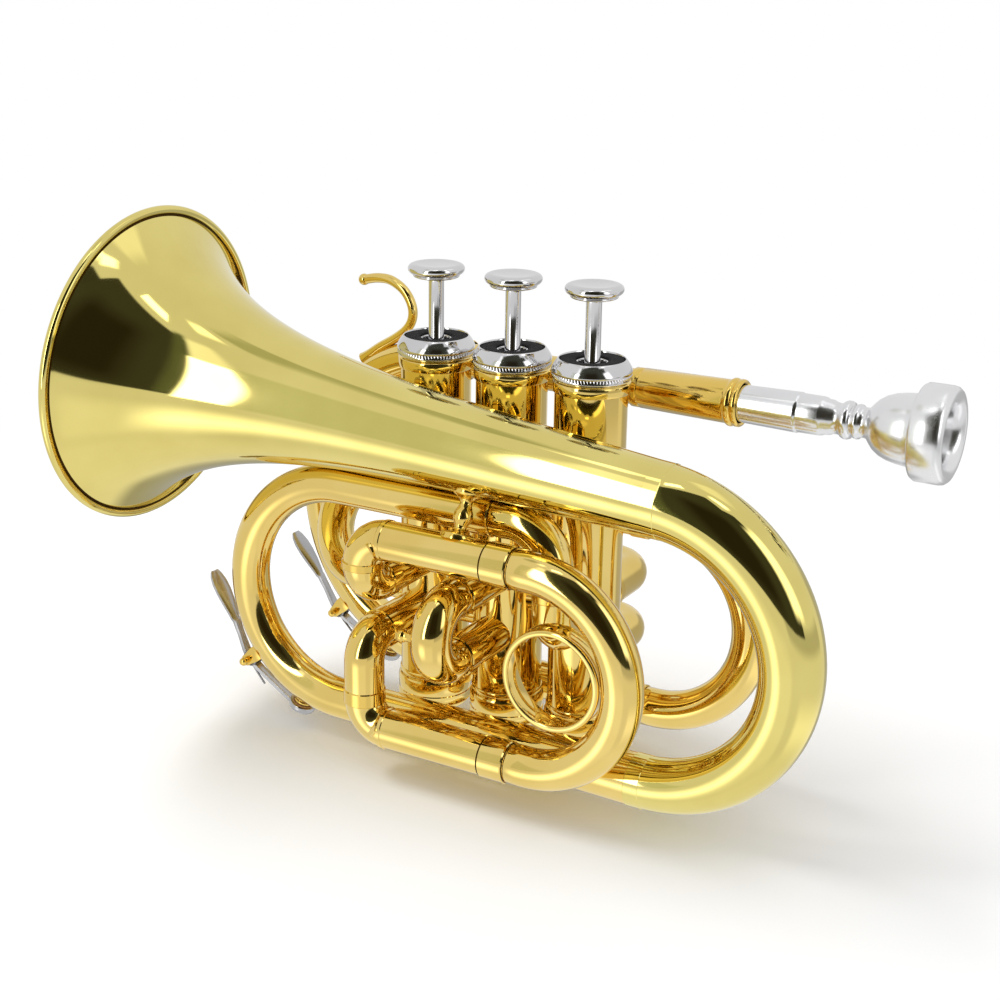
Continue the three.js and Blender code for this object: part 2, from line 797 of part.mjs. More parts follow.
// Mouthpiece receiver and mouthpiece, turned about the leadpipe's axis
function receiver() {
  return turned([
    [leadRadius - leadWall, receiverStart], [receiverSmall, receiverStart],
    [receiverSmall, receiverStart + receiverBeadWidth], [receiverLarge, receiverEnd - 2 * receiverCollarWidth],
    [receiverBead, receiverEnd - 2 * receiverCollarWidth + receiverBeadWidth / 2],
    [receiverCollar, receiverEnd - receiverCollarWidth], [receiverCollar, receiverEnd],
    [shankMouthRadius + seatGap, receiverEnd], [shankTipRadius + seatGap, shankTip - seatGap],
    [leadRadius - leadWall, shankTip - 2 * seatGap],
  ]);
}
place('receiver', aimed(receiver(), at(0, leadSide, leadHeight), X), 'lacqueredBrass');

function mouthpiece() {
  const outside = (share) => receiverEnd + share * (bowlX - receiverEnd);
  const shankSeam = outside(shankSeamShare);
  const waistX = outside(waistShare);
  const ballX = outside(ballShare);
  const beadX = outside(beadShare);
  const throatX = outside(throatShare);
  const mouthRimEnd = bowlX + mouthRimLength;
  const cupBottom = mouthRimEnd - cupDepth;
  return turned([
    [backBore, shankTip], [shankTipRadius, shankTip], [shankMouthRadius, receiverEnd],
    [shankSeamRadius, shankSeam], [waistRadius, waistX], [ballRadius, ballX - seatGap],
    [ballRadius, ballX + seatGap], [waistRadius, (ballX + beadX) / 2], [smallBeadRadius, beadX],
    [throatRadius, (beadX + throatX) / 2], [throatRadius, throatX], [bowlMiddleRadius, outside(bowlMiddleShare)],
    [bowlRadius, bowlX], [mouthRimRadius - mouthRimRound, bowlX],
    [mouthRimRadius, bowlX + mouthRimRound], [mouthRimRadius, mouthRimEnd - mouthRimRound],
    [(mouthRimRadius + cupRadius) / 2, mouthRimEnd], [cupRadius, mouthRimEnd - mouthRimRound / 2],
    [cupRadius * cupMiddleShare, (mouthRimEnd + cupBottom) / 2], [cupRadius / 2, cupBottom + throatBore],
    [throatBore, cupBottom - throatBore], [throatBore, throatX - throatRadius],
  ]);
}
place('mouthpiece', aimed(mouthpiece(), at(0, leadSide, leadHeight), X), 'brightNickel');

// Third slide: two double elbows, two sleeves, the crook and its finger ring
function thirdElbow(legHeight, portHeight) {
  const way = Math.sign(portHeight - legHeight);
  const toward = at(0, 0, way);
  const run = Math.abs(portHeight - legHeight) - thirdElbowRadius - portElbowRadius;
  const route = new Route(at(thirdSleeveStart - seatGap, thirdSide, legHeight), back(X), Y)
    .line(thirdSleeveStart - seatGap + valvePitch - thirdElbowRadius)
    .bend(toward, thirdElbowRadius, 90)
    .line(run)
    .bend(Y, portElbowRadius, 90)
    .line(-thirdSide - portElbowRadius);
  return cut(tube(route, sleeveRadius, innerBore), clearOfCasing(3));
}
place('third_elbow_upper', thirdElbow(thirdUpper, thirdHigh), 'lacqueredBrass');
place('third_elbow_lower', thirdElbow(thirdLower, thirdLow), 'lacqueredBrass');

const thirdSleeve = (height) => tube(new Route(at(thirdSleeveStart, thirdSide, height), X, Y)
  .line(thirdSleeveEnd - thirdSleeveStart), sleeveRadius, sleeveBore);
place('third_sleeve_upper', thirdSleeve(thirdUpper), 'lacqueredBrass');
place('third_sleeve_lower', thirdSleeve(thirdLower), 'lacqueredBrass');

const thirdRadius = (thirdUpper - thirdLower) / 2;
const thirdMiddle = (thirdUpper + thirdLower) / 2;
const thirdCrook = crook(at(thirdSleeveEnd + seatGap, thirdSide, thirdLower), X, Z, Y,
  thirdInsert, thirdCrookX - thirdSleeveEnd - seatGap, thirdRadius, crookSteps);
place('third_crook', thirdCrook, 'lacqueredBrass');

function fingerRing() {
  const band = turned([
    [ringRadius - ringWall, -ringWidth / 2], [ringRadius, -ringWidth / 2],
    [ringRadius, ringWidth / 2], [ringRadius - ringWall, ringWidth / 2],
  ]);
  const centre = at(thirdCrookX + thirdRadius - sleeveRadius - ringRadius, thirdSide, thirdMiddle);
  const keepOut = rod(new Route(at(thirdCrookX, thirdSide, thirdLower), X, Y)
    .bend(Z, thirdRadius, 180, crookSteps), sleeveRadius + seatGap);
  return cut(aimed(band, centre, Y), keepOut);
}
place('finger_ring', fingerRing(), 'lacqueredBrass');

// Second slide: two sleeves straight out of valve 2 and a crook between them
function secondSleeve(height) {
  const route = new Route(at(0, 0, height), back(Y), X).line(-secondSleeveEnd);
  return cut(tube(route, sleeveRadius, sleeveBore), clearOfCasing(2));
}
place('second_sleeve_upper', secondSleeve(secondHigh), 'lacqueredBrass');
place('second_sleeve_lower', secondSleeve(secondLow), 'lacqueredBrass');
place('second_crook', crook(at(0, secondSleeveEnd - seatGap, secondLow), back(Y), Z, X, secondInsert,
  secondSleeveEnd - seatGap - secondCrookSide, smallCrookRadius, smallCrookSteps), 'lacqueredBrass');

function knob() {
  return turned(knobShares.map(([out, up]) => [out * knobRadius, up * knobReach]), rodSides);
}
place('second_knob', aimed(knob(), at(-sleeveRadius - seatGap,
  secondCrookSide - smallCrookRadius, secondMiddle), back(X)), 'lacqueredBrass');

// First slide: elbows out of the far side of valve 1, turned towards the bell
function firstSleeve(height) {
  const route = new Route(at(valvePitch, 0, height), Y, X)
    .line(firstSide - firstElbowRadius)
    .bend(back(X), firstElbowRadius, 90)
    .line(valvePitch - firstElbowRadius - firstSleeveEnd);
  return cut(tube(route, sleeveRadius, sleeveBore), clearOfCasing(1));
}
place('first_sleeve_upper', firstSleeve(firstHigh), 'lacqueredBrass');
place('first_sleeve_lower', firstSleeve(firstLow), 'lacqueredBrass');
place('first_crook', crook(at(firstSleeveEnd - seatGap, firstSide, firstLow), back(X), Z, Y, firstInsert,
  firstSleeveEnd - seatGap - firstCrookX, smallCrookRadius, smallCrookSteps), 'lacqueredBrass');

// Brace: a vase-shaped post from the third slide's upper sleeve to the bell
function brace() {
  const bellPoint = bellMouth.clone()
    .addScaledVector(bellHeading, (braceX + bellReach) / Math.cos(bellTilt));
  const foot = at(braceX, thirdSide, thirdUpper);
  const way = bellPoint.clone().sub(foot).setX(0);
  const low = sleeveRadius * braceSinkShare;
  const rise = way.length() - bellRadius(braceX + bellReach) * braceSinkShare - low;
  const post = turned(braceShares.map(([out, up]) => [out * braceFootRadius, low + up * rise]), rodSides);
  const keepSleeve = rod(new Route(at(thirdSleeveStart, thirdSide, thirdUpper), X, Y)
    .line(thirdSleeveEnd - thirdSleeveStart), sleeveRadius + seatGap);
  const keepBell = rod(bellRoute(), (s) => bellRadius(s) + seatGap, bellSides);
  return cut(aimed(post, foot, way), keepSleeve, keepBell);
}
place('bell_brace', brace(), 'lacqueredBrass');

// Finger hook: a bent rod on the outside of the leadpipe's bow
function fingerHook() {
  const lean = radians(hookFootDegrees);
  const reach = leadBowRadius + sleeveRadius + seatGap / 2;
  const foot = at(leadBowX - reach * Math.sin(lean), hookSide,
    leadHeight - leadBowRadius + reach * Math.cos(lean));
  const points = hookOutlineShares.map(([x, z]) => foot.clone().add(at(hookWidth * x, 0, hookHeight * z)));
  const line = new THREE.CatmullRomCurve3(points);
  const stations = [];
  for (let i = 0; i <= hookSteps; i += 1) {
    const share = i / hookSteps;
    stations.push({ point: line.getPointAt(share), heading: line.getTangentAt(share), side: Y, along: share });
  }
  const ball = new THREE.SphereGeometry(hookTipBall, beadSides, ballRings)
    .translate(...points[points.length - 1].toArray());
  const keepBow = rod(leadBowRoute(), sleeveRadius + seatGap);
  return cut(join(rod({ stations }, hookRod, beadSides), ball), keepBow);
}
place('finger_hook', fingerHook(), 'lacqueredBrass');

// Water keys: a nipple and a saddle on a bow, a lever with its cup, and a cork
// The frame of a key stands on its pivot: t runs up the bow and n away from it.
function keyFrame(bow, degrees) {
  const down = radians(degrees);
  const n = at(-Math.cos(down), 0, -Math.sin(down));
  const t = at(-Math.sin(down), 0, Math.cos(down));
  const spread = cupReach / (bow.radius + bow.tube);
  const cupDown = down + spread;
  const cupWay = at(-Math.cos(cupDown), 0, -Math.sin(cupDown));
  const surface = bow.radius + bow.tube;
  const pivot = bow.centre.clone().addScaledVector(n, surface + pivotHeight);
  const nipple = bow.centre.clone().addScaledVector(cupWay, surface);
  return { n, t, pivot, nipple, cupWay };
}

// Puts a solid that is drawn with x along t, y across and z along n in place.
function onPivot(geometry, frame) {
  const turn = new THREE.Matrix4().makeBasis(frame.t, frame.n.clone().cross(frame.t), frame.n);
  return geometry.clone().applyMatrix4(turn.setPosition(frame.pivot));
}

function keyFittings(frame, bow) {
  const earGap = hingeWidth / 2 + seatGap;
  const depth = pivotHeight + bow.tube / 2;
  const ear = (way) => new THREE.BoxGeometry(earWidth, earThickness, depth + hingeRadius)
    .translate(0, way * (earGap + earThickness / 2), (hingeRadius - depth) / 2);
  const base = new THREE.BoxGeometry(earWidth, 2 * (earGap + earThickness), saddleThickness + bow.tube / 2)
    .translate(0, 0, -pivotHeight + saddleThickness - (saddleThickness + bow.tube / 2) / 2);
  const halfPin = earGap + earThickness + pinOverhang;
  const pin = cylinder(pinRadius, -halfPin, halfPin, rodSides).rotateX(Math.PI / 2);
  const ball = (way) => new THREE.SphereGeometry(pinBall, beadSides, ballRings).translate(0, way * halfPin, 0);
  const saddle = join(ear(1), ear(-1), base, pin, ball(1), ball(-1));
  const nipple = aimed(cylinder(nippleRadius, -bow.tube / 2, nippleHeight, tubeSides),
    frame.nipple, frame.cupWay);
  return join(onPivot(saddle, frame), nipple);
}

const nippleDrill = (frame, bow) => aimed(
  cylinder(nippleBore, -bow.tube, nippleHeight + cutOverrun, tunnelSides), frame.nipple, frame.cupWay);

// Section of the lever at one place: flat across, thin along n
function leverSection(along, out, width) {
  return leverSectionShares.map(([across, up]) => (
    at(along, across * width, out + up * leverThickness)));
}

function lever(frame) {
  const seat = frame.nipple.clone().addScaledVector(frame.cupWay, nippleHeight + seatGap + corkThickness);
  const local = seat.clone().sub(frame.pivot);
  const cupAlong = local.dot(frame.t);
  const cupOut = local.dot(frame.n) + cupRoof;
  const arm = skin([
    ...armShares.map(([along, out, wide]) => leverSection(along * cupAlong, out * cupOut, wide * paddleWidth)),
    ...paddleShares.map(([along, drop, wide]) => (
      leverSection(along * paddleReach, -drop * paddleDrop, wide * paddleWidth))),
  ], false);
  const hinge = cylinder(hingeRadius, -hingeWidth / 2, hingeWidth / 2, rodSides).rotateX(Math.PI / 2);
  const hole = cylinder(pinRadius + rodFit, -hingeWidth, hingeWidth, rodSides).rotateX(Math.PI / 2);
  const cup = turned([
    [0, 0], [corkRadius + threadFit, 0], [corkRadius + threadFit, -cupSkirt], [cupRadiusOut, -cupSkirt],
    [cupRadiusOut, cupRoof / 2], [cupRadiusOut - cupRoof, cupRoof], [0, cupRoof],
  ], tubeSides);
  const roof = seat.clone().addScaledVector(frame.cupWay, threadFit);
  const whole = join(onPivot(join(arm, hinge), frame), aimed(cup, roof, frame.cupWay));
  const corkRoom = aimed(cylinder(corkRadius + threadFit, -cupSkirt - corkThickness, 0, tubeSides),
    roof, frame.cupWay);
  return cut(whole, onPivot(hole, frame), corkRoom);
}

function keyCork(frame) {
  const low = nippleHeight + seatGap;
  return aimed(cylinder(corkRadius, low, low + corkThickness, tubeSides), frame.nipple, frame.cupWay);
}

const tailKeyAlong = runLength + tailBowRadius * radians(90 - tailKeyDegrees);
const tailLength = tailRoute().end.along;
const tailKeySide = bottomSide + (tailSide - bottomSide) * smooth(tailKeyAlong / tailLength);
const tailKeyBow = {
  centre: at(tailBowX, tailKeySide, bottomHeight + tailBowRadius),
  radius: tailBowRadius,
  tube: tailTaper(tailKeyAlong),
};
const tailKey = keyFrame(tailKeyBow, tailKeyDegrees);
const tailWall = tube(tailRoute(), tailTaper, (s) => tailTaper(s) - bellWall);
const tailBore = rod(tailRoute(), (s) => tailTaper(s) - bellWall / 2);
place('bell_tail', cut(join(tailWall, cut(keyFittings(tailKey, tailKeyBow), tailBore)),
  nippleDrill(tailKey, tailKeyBow)), 'lacqueredBrass');
place('water_key_1', lever(tailKey), 'brightNickel');
place('water_key_cork_1', keyCork(tailKey), 'cork');

const leadKeyShare = (90 + leadKeyDegrees) / 180;
const leadKeySide = leadSide + (tuningSide - leadSide) * smooth(leadKeyShare);
const leadKeyBow = {
  centre: at(leadBowX, leadKeySide, leadFoot + leadBowRadius),
  radius: leadBowRadius,
  tube: sleeveRadius,
};
const leadKey = keyFrame(leadKeyBow, leadKeyDegrees);
const leadWallTube = tube(leadBowRoute(), sleeveRadius, innerBore);
const leadBore = rod(leadBowRoute(), (sleeveRadius + innerBore) / 2);
place('leadpipe_bow', cut(join(leadWallTube, cut(keyFittings(leadKey, leadKeyBow), leadBore)),
  nippleDrill(leadKey, leadKeyBow)), 'lacqueredBrass');
place('water_key_2', lever(leadKey), 'brightNickel');
place('water_key_cork_2', keyCork(leadKey), 'cork');

const measured = new THREE.Box3().setFromObject(trumpet);
console.log(`overall size ${measured.getSize(at(0, 0, 0)).toArray().map((v) => v.toFixed(1))} mm`);

export default trumpet;
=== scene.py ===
# Pocket trumpet: smooth tubing, valve tops, water keys and finishes over the CAD frame.
# Sizes are millimetres until a piece is placed; the frame itself is in metres.
import math
import bpy
from mathutils import Matrix, Vector


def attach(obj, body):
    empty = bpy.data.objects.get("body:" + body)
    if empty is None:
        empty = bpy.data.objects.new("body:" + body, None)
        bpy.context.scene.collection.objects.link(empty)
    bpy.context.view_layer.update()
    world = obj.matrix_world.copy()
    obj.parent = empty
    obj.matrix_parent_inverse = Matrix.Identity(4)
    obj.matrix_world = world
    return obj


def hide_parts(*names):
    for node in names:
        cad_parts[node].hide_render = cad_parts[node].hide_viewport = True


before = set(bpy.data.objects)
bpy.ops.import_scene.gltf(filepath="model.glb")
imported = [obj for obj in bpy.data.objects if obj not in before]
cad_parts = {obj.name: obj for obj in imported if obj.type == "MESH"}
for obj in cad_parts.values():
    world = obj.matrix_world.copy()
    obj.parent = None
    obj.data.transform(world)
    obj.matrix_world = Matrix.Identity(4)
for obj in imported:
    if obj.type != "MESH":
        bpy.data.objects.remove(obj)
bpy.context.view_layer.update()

MM = 0.001
X, Y, Z = Vector((1, 0, 0)), Vector((0, 1, 0)), Vector((0, 0, 1))

# Sizes that the CAD model also has
VALVE_X = {1: 25.0, 2: 0.0, 3: -25.0}
CAP_TOP = 56.0
CASING_R = 10.1
SLEEVE_R = 5.7
INNER_R = 5.18
# Walls: the bell's sheet, the slides' bows, sleeves and inner legs, and the leadpipe with the knuckles
SHEET, BOW_WALL, SLEEVE_WALL, LEG_WALL, PIPE_WALL = 0.7, 0.9, 0.4, 0.45, 0.5
# How far one tube's end stays off the next one's, under the ring that covers them
GAP = 0.3
# The bend by which a tube turns in to the casing that it is soldered to
TURN_IN = 7.2


# Finishes
def linear(hex_colour):
    """An sRGB hex colour as the linear colour that a shader socket takes."""
    parts = [int(hex_colour[i:i + 2], 16) / 255 for i in (1, 3, 5)]
    return [c / 12.92 if c <= 0.04045 else ((c + 0.055) / 1.055) ** 2.4 for c in parts] + [1.0]


def node(owner, kind, settings=None, **links):
    """Adds one shader node: settings are its own options, links its input sockets by name or as in_number."""
    made = owner.node_tree.nodes.new(kind)
    for key, value in (settings or {}).items():
        setattr(made, key, value)
    for key, value in links.items():
        name = key.replace("_", " ")
        socket = made.inputs[int(name[3:])] if name.startswith("in ") else made.inputs[name]
        if isinstance(value, bpy.types.NodeSocket):
            owner.node_tree.links.new(value, socket)
        else:
            socket.default_value = value
    return made


def stops(ramp, *pairs):
    """Sets the stops of a colour ramp: place and hex colour."""
    line = ramp.color_ramp
    while len(line.elements) < len(pairs):
        line.elements.new(0.5)
    for element, (place, colour) in zip(line.elements, pairs):
        element.position = place
        element.color = linear(colour)
    return ramp


def new_finish(name):
    material = bpy.data.materials.new(name)
    material.use_nodes = True
    material.node_tree.nodes.clear()
    return material


def out(material, shader):
    node(material, "ShaderNodeOutputMaterial", Surface=shader.outputs[0])
    return material


# Patterns of polished metal, each as how many lie in a row of one metre
CLOUDS = 40.0  # 25 mm wide: thin and thick places of the lacquer or plate
HAIRS = 2400.0  # 0.4 mm apart, drawn coarser than the wheel leaves them so that they show
SWELLS = 85.0  # 12 mm wide: the sheet is never quite flat
SWELL_HEIGHT = 0.02 * MM  # taken at half strength, so a hundredth of a millimetre


def polished_metal(name, light, deep, rough, coat=0.0):
    """Metal finished on the wheel: faint clouds of haze, hair lines and slow swells in its mirror."""
    m = new_finish(name)
    place = node(m, "ShaderNodeTexCoord").outputs["Object"]
    cloud = node(m, "ShaderNodeTexNoise", Vector=place, Scale=CLOUDS, Detail=3.0, Roughness=0.55)
    tint = stops(node(m, "ShaderNodeValToRGB", Fac=cloud.outputs["Fac"]), (0.3, deep), (0.7, light))
    hair = node(m, "ShaderNodeTexNoise", Vector=place, Scale=HAIRS, Detail=2.0, Roughness=0.6)
    haze = node(m, "ShaderNodeMix", Factor=0.35, in_2=cloud.outputs["Fac"], in_3=hair.outputs["Fac"])
    dull = node(m, "ShaderNodeMapRange", Value=haze.outputs[0], From_Min=0.3, From_Max=0.75,
                To_Min=rough * 0.75, To_Max=rough * 1.5)
    swell = node(m, "ShaderNodeTexNoise", Vector=place, Scale=SWELLS, Detail=1.0)
    bump = node(m, "ShaderNodeBump", Strength=0.5, Distance=SWELL_HEIGHT, Height=swell.outputs["Fac"])
    shader = node(m, "ShaderNodeBsdfPrincipled", Base_Color=tint.outputs["Color"], Metallic=1.0,
                  Roughness=dull.outputs[0], Normal=bump.outputs[0], Coat_Weight=coat, Coat_Roughness=0.03)
    return out(m, shader)


def soft_stuff(name, light, deep, grain_mm, rough, depth_mm):
    """Felt, cork or moulded nylon: no mirror, a grain of its own size."""
    m = new_finish(name)
    place = node(m, "ShaderNodeTexCoord").outputs["Object"]
    grain = node(m, "ShaderNodeTexNoise", Vector=place, Scale=1000.0 / grain_mm, Detail=4.0, Roughness=0.7)
    tint = stops(node(m, "ShaderNodeValToRGB", Fac=grain.outputs["Fac"]), (0.35, deep), (0.65, light))
    bump = node(m, "ShaderNodeBump", Strength=0.8, Distance=depth_mm * MM, Height=grain.outputs["Fac"])
    shader = node(m, "ShaderNodeBsdfPrincipled", Base_Color=tint.outputs["Color"], Roughness=rough,
                  Normal=bump.outputs[0])
    return out(m, shader)


# Spun sheet brass of the bell under clear lacquer: a pale straw mirror, amber where it mirrors itself
brass_bell = polished_metal("lacquered bell brass", "#ECDC86", "#E2D17A", 0.045, coat=0.1)
# Drawn tubing under gold lacquer: warmer than the bell and a little duller
brass = polished_metal("gold lacquered brass", "#F4D884", "#EACB72", 0.06, coat=0.1)
# Cast and turned fittings, buffed less: deeper and softer
brass_fitting = polished_metal("gold lacquered brass fittings", "#F2D070", "#E8C462", 0.1, coat=0.1)
# Lacquer gone dark with grime in the fine seams beside the slip rings and behind the bell's rim, and painted
# shade of those narrow gaps and grooves
seam_grime_and_shade = polished_metal("seam grime and painted shade", "#4A3108", "#2E1D04", 0.4)
# Bright nickel plate on turned brass: a cold mirror, light grey between the tent's white and the dark room
nickel = polished_metal("bright nickel plate", "#E0DFE0", "#D3D2D4", 0.08)
# The mouthpiece's plate, brushed fine: its mirror is blurred into soft greys
nickel_satin = polished_metal("satin nickel plate", "#F0F0F1", "#E6E6E8", 0.2)
# Nickel silver levers, barrel finished: greyer and softer
lever_metal = polished_metal("barrel finished nickel silver", "#C9C8C8", "#A9A8A9", 0.2)
# Honed monel of the pistons: a warm grey sheen without a clear mirror
monel = polished_metal("honed monel", "#BDB8AE", "#A8A39A", 0.24)
# Spring wire, oiled: a dull, darker grey
wire = polished_metal("oiled spring wire", "#9A9A9C", "#7C7C80", 0.3)
# Pressed wool felt, dyed black: soft and deep, fibres about 0.3 mm
felt = soft_stuff("black pressed felt", "#1B1A1C", "#070708", 0.3, 0.95, 0.15)
# Natural cork: light brown with darker grains about 0.8 mm
cork = soft_stuff("natural cork", "#C79B68", "#8D6337", 0.8, 0.85, 0.1)
# Moulded nylon of the valve guides: smooth off-white with a weak shine
nylon = soft_stuff("moulded nylon", "#EDEBE2", "#E0DDD2", 1.5, 0.45, 0.02)


# Making pieces
def only(obj):
    bpy.ops.object.select_all(action="DESELECT")
    obj.select_set(True)
    bpy.context.view_layer.objects.active = obj


def settle(obj, name, finish, body, slot, nodes=(), sharp=38):
    """Names a finished piece, puts its place into its mesh and ties it to the frame."""
    only(obj)
    bpy.ops.object.transform_apply(location=True, rotation=True, scale=True)
    obj.name = name
    obj.data.materials.clear()
    obj.data.materials.append(finish)
    bpy.ops.object.shade_smooth_by_angle(angle=math.radians(sharp))
    if nodes:
        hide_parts(*nodes)
    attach(obj, body)
    return obj


def add_modifier(obj, kind, **settings):
    modifier = obj.modifiers.new(kind.lower(), kind)
    for key, value in settings.items():
        setattr(modifier, key, value)
    only(obj)
    bpy.ops.object.modifier_apply(modifier=modifier.name)
    return obj


def soften(obj, width_mm, segments=2, angle=30):
    return add_modifier(obj, "BEVEL", width=width_mm * MM, segments=segments, limit_method="ANGLE",
                        angle_limit=math.radians(angle), harden_normals=False)


def at_level(level, *profile):
    """A lathe profile whose heights count from a level: up is positive, down negative."""
    return [(r, level + h) for r, h in profile]


def turned(profile, sides=96, closed=False):
    """A lathe piece about Z: a circle that is extruded and scaled from one radius and height to the next."""
    points = [(r * MM, h * MM) for r, h in profile]
    bpy.ops.object.select_all(action="DESELECT")
    bpy.ops.mesh.primitive_circle_add(vertices=sides, radius=points[0][0], location=(0, 0, points[0][1]))
    obj = bpy.context.active_object
    bpy.ops.object.transform_apply(location=True)
    bpy.ops.object.mode_set(mode="EDIT")
    bpy.ops.mesh.select_mode(type="VERT")
    bpy.ops.mesh.select_all(action="SELECT")
    path = points + points[:1] if closed else points
    for (ra, ha), (rb, hb) in zip(path, path[1:]):
        bpy.ops.mesh.extrude_region_move(TRANSFORM_OT_translate={"value": (0, 0, hb - ha)})
        if abs(rb - ra) > 1e-9:
            bpy.ops.transform.resize(value=(rb / ra, rb / ra, 1), center_override=(0, 0, hb))
    bpy.ops.mesh.select_all(action="SELECT")
    bpy.ops.mesh.remove_doubles(threshold=1e-6)
    if not closed:
        bpy.ops.mesh.fill_holes(sides=0)
    bpy.ops.mesh.select_all(action="SELECT")
    bpy.ops.mesh.normals_make_consistent(inside=False)
    bpy.ops.object.mode_set(mode="OBJECT")
    return obj


def stand(obj, point, direction):
    """Turns a lathe piece's axis from +Z to a direction and stands it on a point, in millimetres."""
    turn = Z.rotation_difference(Vector(direction).normalized()).to_matrix().to_4x4()
    obj.data.transform(Matrix.Translation(Vector(point) * MM) @ turn)
    return obj


def join(*objs):
    bpy.ops.object.select_all(action="DESELECT")
    for obj in objs:
        obj.select_set(True)
    bpy.context.view_layer.objects.active = objs[0]
    bpy.ops.object.join()
    return objs[0]


def eased(share):
    """A share of the way that starts and ends softly."""
    return share * share * (3 - 2 * share)


class Path:
    """The middle line of a tube, run and bent as on a bending table. Points are in millimetres."""

    def __init__(self, start, heading):
        self.points = [Vector(start)]
        self.headings = [Vector(heading).normalized()]
        self.along = [0.0]

    def run(self, length, step=4.0):
        count = max(1, round(length / step))
        p, h, s = self.points[-1], self.headings[-1], self.along[-1]
        for i in range(1, count + 1):
            self.points.append(p + h * (length * i / count))
            self.headings.append(h.copy())
            self.along.append(s + length * i / count)
        return self

    def bend(self, toward, radius, degrees, step=4.0):
        p, h, s = self.points[-1], self.headings[-1], self.along[-1]
        toward = Vector(toward)
        axis = h.cross(toward).normalized()
        centre = p + toward * radius
        count = max(3, round(degrees / step))
        for i in range(1, count + 1):
            angle = math.radians(degrees) * i / count
            turn = Matrix.Rotation(angle, 3, axis)
            self.points.append(centre + turn @ (p - centre))
            self.headings.append(turn @ h)
            self.along.append(s + radius * angle)
        return self

    def lean(self, shift):
        """Lets the line drift along Y, by the whole shift at its end."""
        for point, s in zip(self.points, self.along):
            point.y += shift * eased(s / self.along[-1])
        return self


def tube(path, radius, wall=0.0, sides=48):
    """A drawn tube along a path. radius is a number or a function of the distance along it."""
    size = radius if callable(radius) else (lambda s: radius)
    bpy.ops.object.select_all(action="DESELECT")
    bpy.ops.curve.primitive_nurbs_path_add()
    obj = bpy.context.active_object
    line = obj.data
    line.splines.clear()
    spline = line.splines.new("POLY")
    spline.points.add(len(path.points) - 1)
    for p, place, s in zip(spline.points, path.points, path.along):
        p.co = (*(place * MM), 1)
        p.radius = size(s)
    line.dimensions = "3D"
    line.twist_mode = "MINIMUM"
    line.bevel_depth = MM
    line.bevel_resolution = (sides - 4) // 4
    line.use_fill_caps = wall == 0
    only(obj)
    bpy.ops.object.convert(target="MESH")
    obj = bpy.context.active_object
    bpy.ops.object.mode_set(mode="EDIT")
    bpy.ops.mesh.select_all(action="SELECT")
    bpy.ops.mesh.remove_doubles(threshold=1e-6)
    bpy.ops.mesh.normals_make_consistent(inside=False)
    bpy.ops.object.mode_set(mode="OBJECT")
    if wall:
        add_modifier(obj, "SOLIDIFY", thickness=wall * MM, offset=-1)
    return obj


# A coped end reaches into the casing's wall, and the cutter is taller than the valves
COPE_R, COPE_TALL = 9.7, 130


def cope(obj, *valves):
    """Copes the end of a tube to the valve casings that it is soldered to."""
    for number in valves:
        bpy.ops.object.select_all(action="DESELECT")
        bpy.ops.mesh.primitive_cylinder_add(vertices=96, radius=COPE_R * MM, depth=COPE_TALL * MM,
                                            location=(VALVE_X[number] * MM, 0, 0))
        tool = bpy.context.active_object
        add_modifier(obj, "BOOLEAN", operation="DIFFERENCE", solver="EXACT", object=tool)
        bpy.data.objects.remove(tool, do_unlink=True)
    return obj


def ferrule(point, direction, length, radius, thick=0.35, sides=64):
    """A slip ring round a tube: its ends are rounded over."""
    inner, outer, lip = radius - 0.05, radius + thick, min(0.3, thick)
    ring = turned([
        (inner, 0), (outer - lip, 0), (outer, lip), (outer, length - lip), (outer - lip, length),
        (inner, length),
    ], sides=sides, closed=True)
    return stand(ring, point, direction)


# Body and slot of nearly all the brass
BRASS = ("trumpet", "lacquered_brass")
SEAM_WIDE = 0.32


def seam(name, point, direction, radius):
    """The dark line where a slip ring ends against the tube under it: painted shade of the seam, with some
    grime.
    """
    inner, outer = radius - 0.2, radius + 0.04
    line = turned([(inner, 0), (outer, 0), (outer, SEAM_WIDE), (inner, SEAM_WIDE)], sides=64, closed=True)
    settle(stand(line, point, direction), name, seam_grime_and_shade, *BRASS)


# Valves
KNURLS = 84


def knurl(obj, low, high, radius, depth):
    """Presses every second point of a band inwards, which leaves fine upright ridges."""
    turn = math.tau / KNURLS
    for v in obj.data.vertices:
        r = math.hypot(v.co.x, v.co.y)
        in_band = low * MM < v.co.z < high * MM and r > (radius - 0.3) * MM
        odd = round(math.atan2(v.co.y, v.co.x) / (turn / 2)) % 2
        if in_band and odd:
            k = (r - depth * MM) / r
            v.co.x *= k
            v.co.y *= k
    return obj


def top_cap():
    shape = turned(at_level(
        CAP_TOP, (10.25, -5.4), (10.7, -5.4), (10.85, -5.25), (10.9, -5.05), (11.0, -5.0), (11.05, -3.95),
        (11.0, -3.85), (10.98, -3.72), (11.1, -3.55), (11.12, -3.2), (11.05, -2.8), (10.85, -2.3),
        (10.55, -1.75), (10.2, -1.2), (9.8, -0.65), (9.5, -0.25), (9.3, -0.05), (9.15, 0), (9.05, -0.12),
        (9.02, -0.8), (9.02, -2.1), (4.4, -2.1), (4.4, -0.95), (4.3, -0.82), (3.95, -0.82), (3.85, -0.95),
        (3.85, -1.9), (2.5, -1.9), (2.5, -3.3), (10.25, -3.3),
    ), sides=2 * KNURLS, closed=True)
    return knurl(shape, CAP_TOP - 5.05, CAP_TOP - 3.85, 11.1, 0.22)


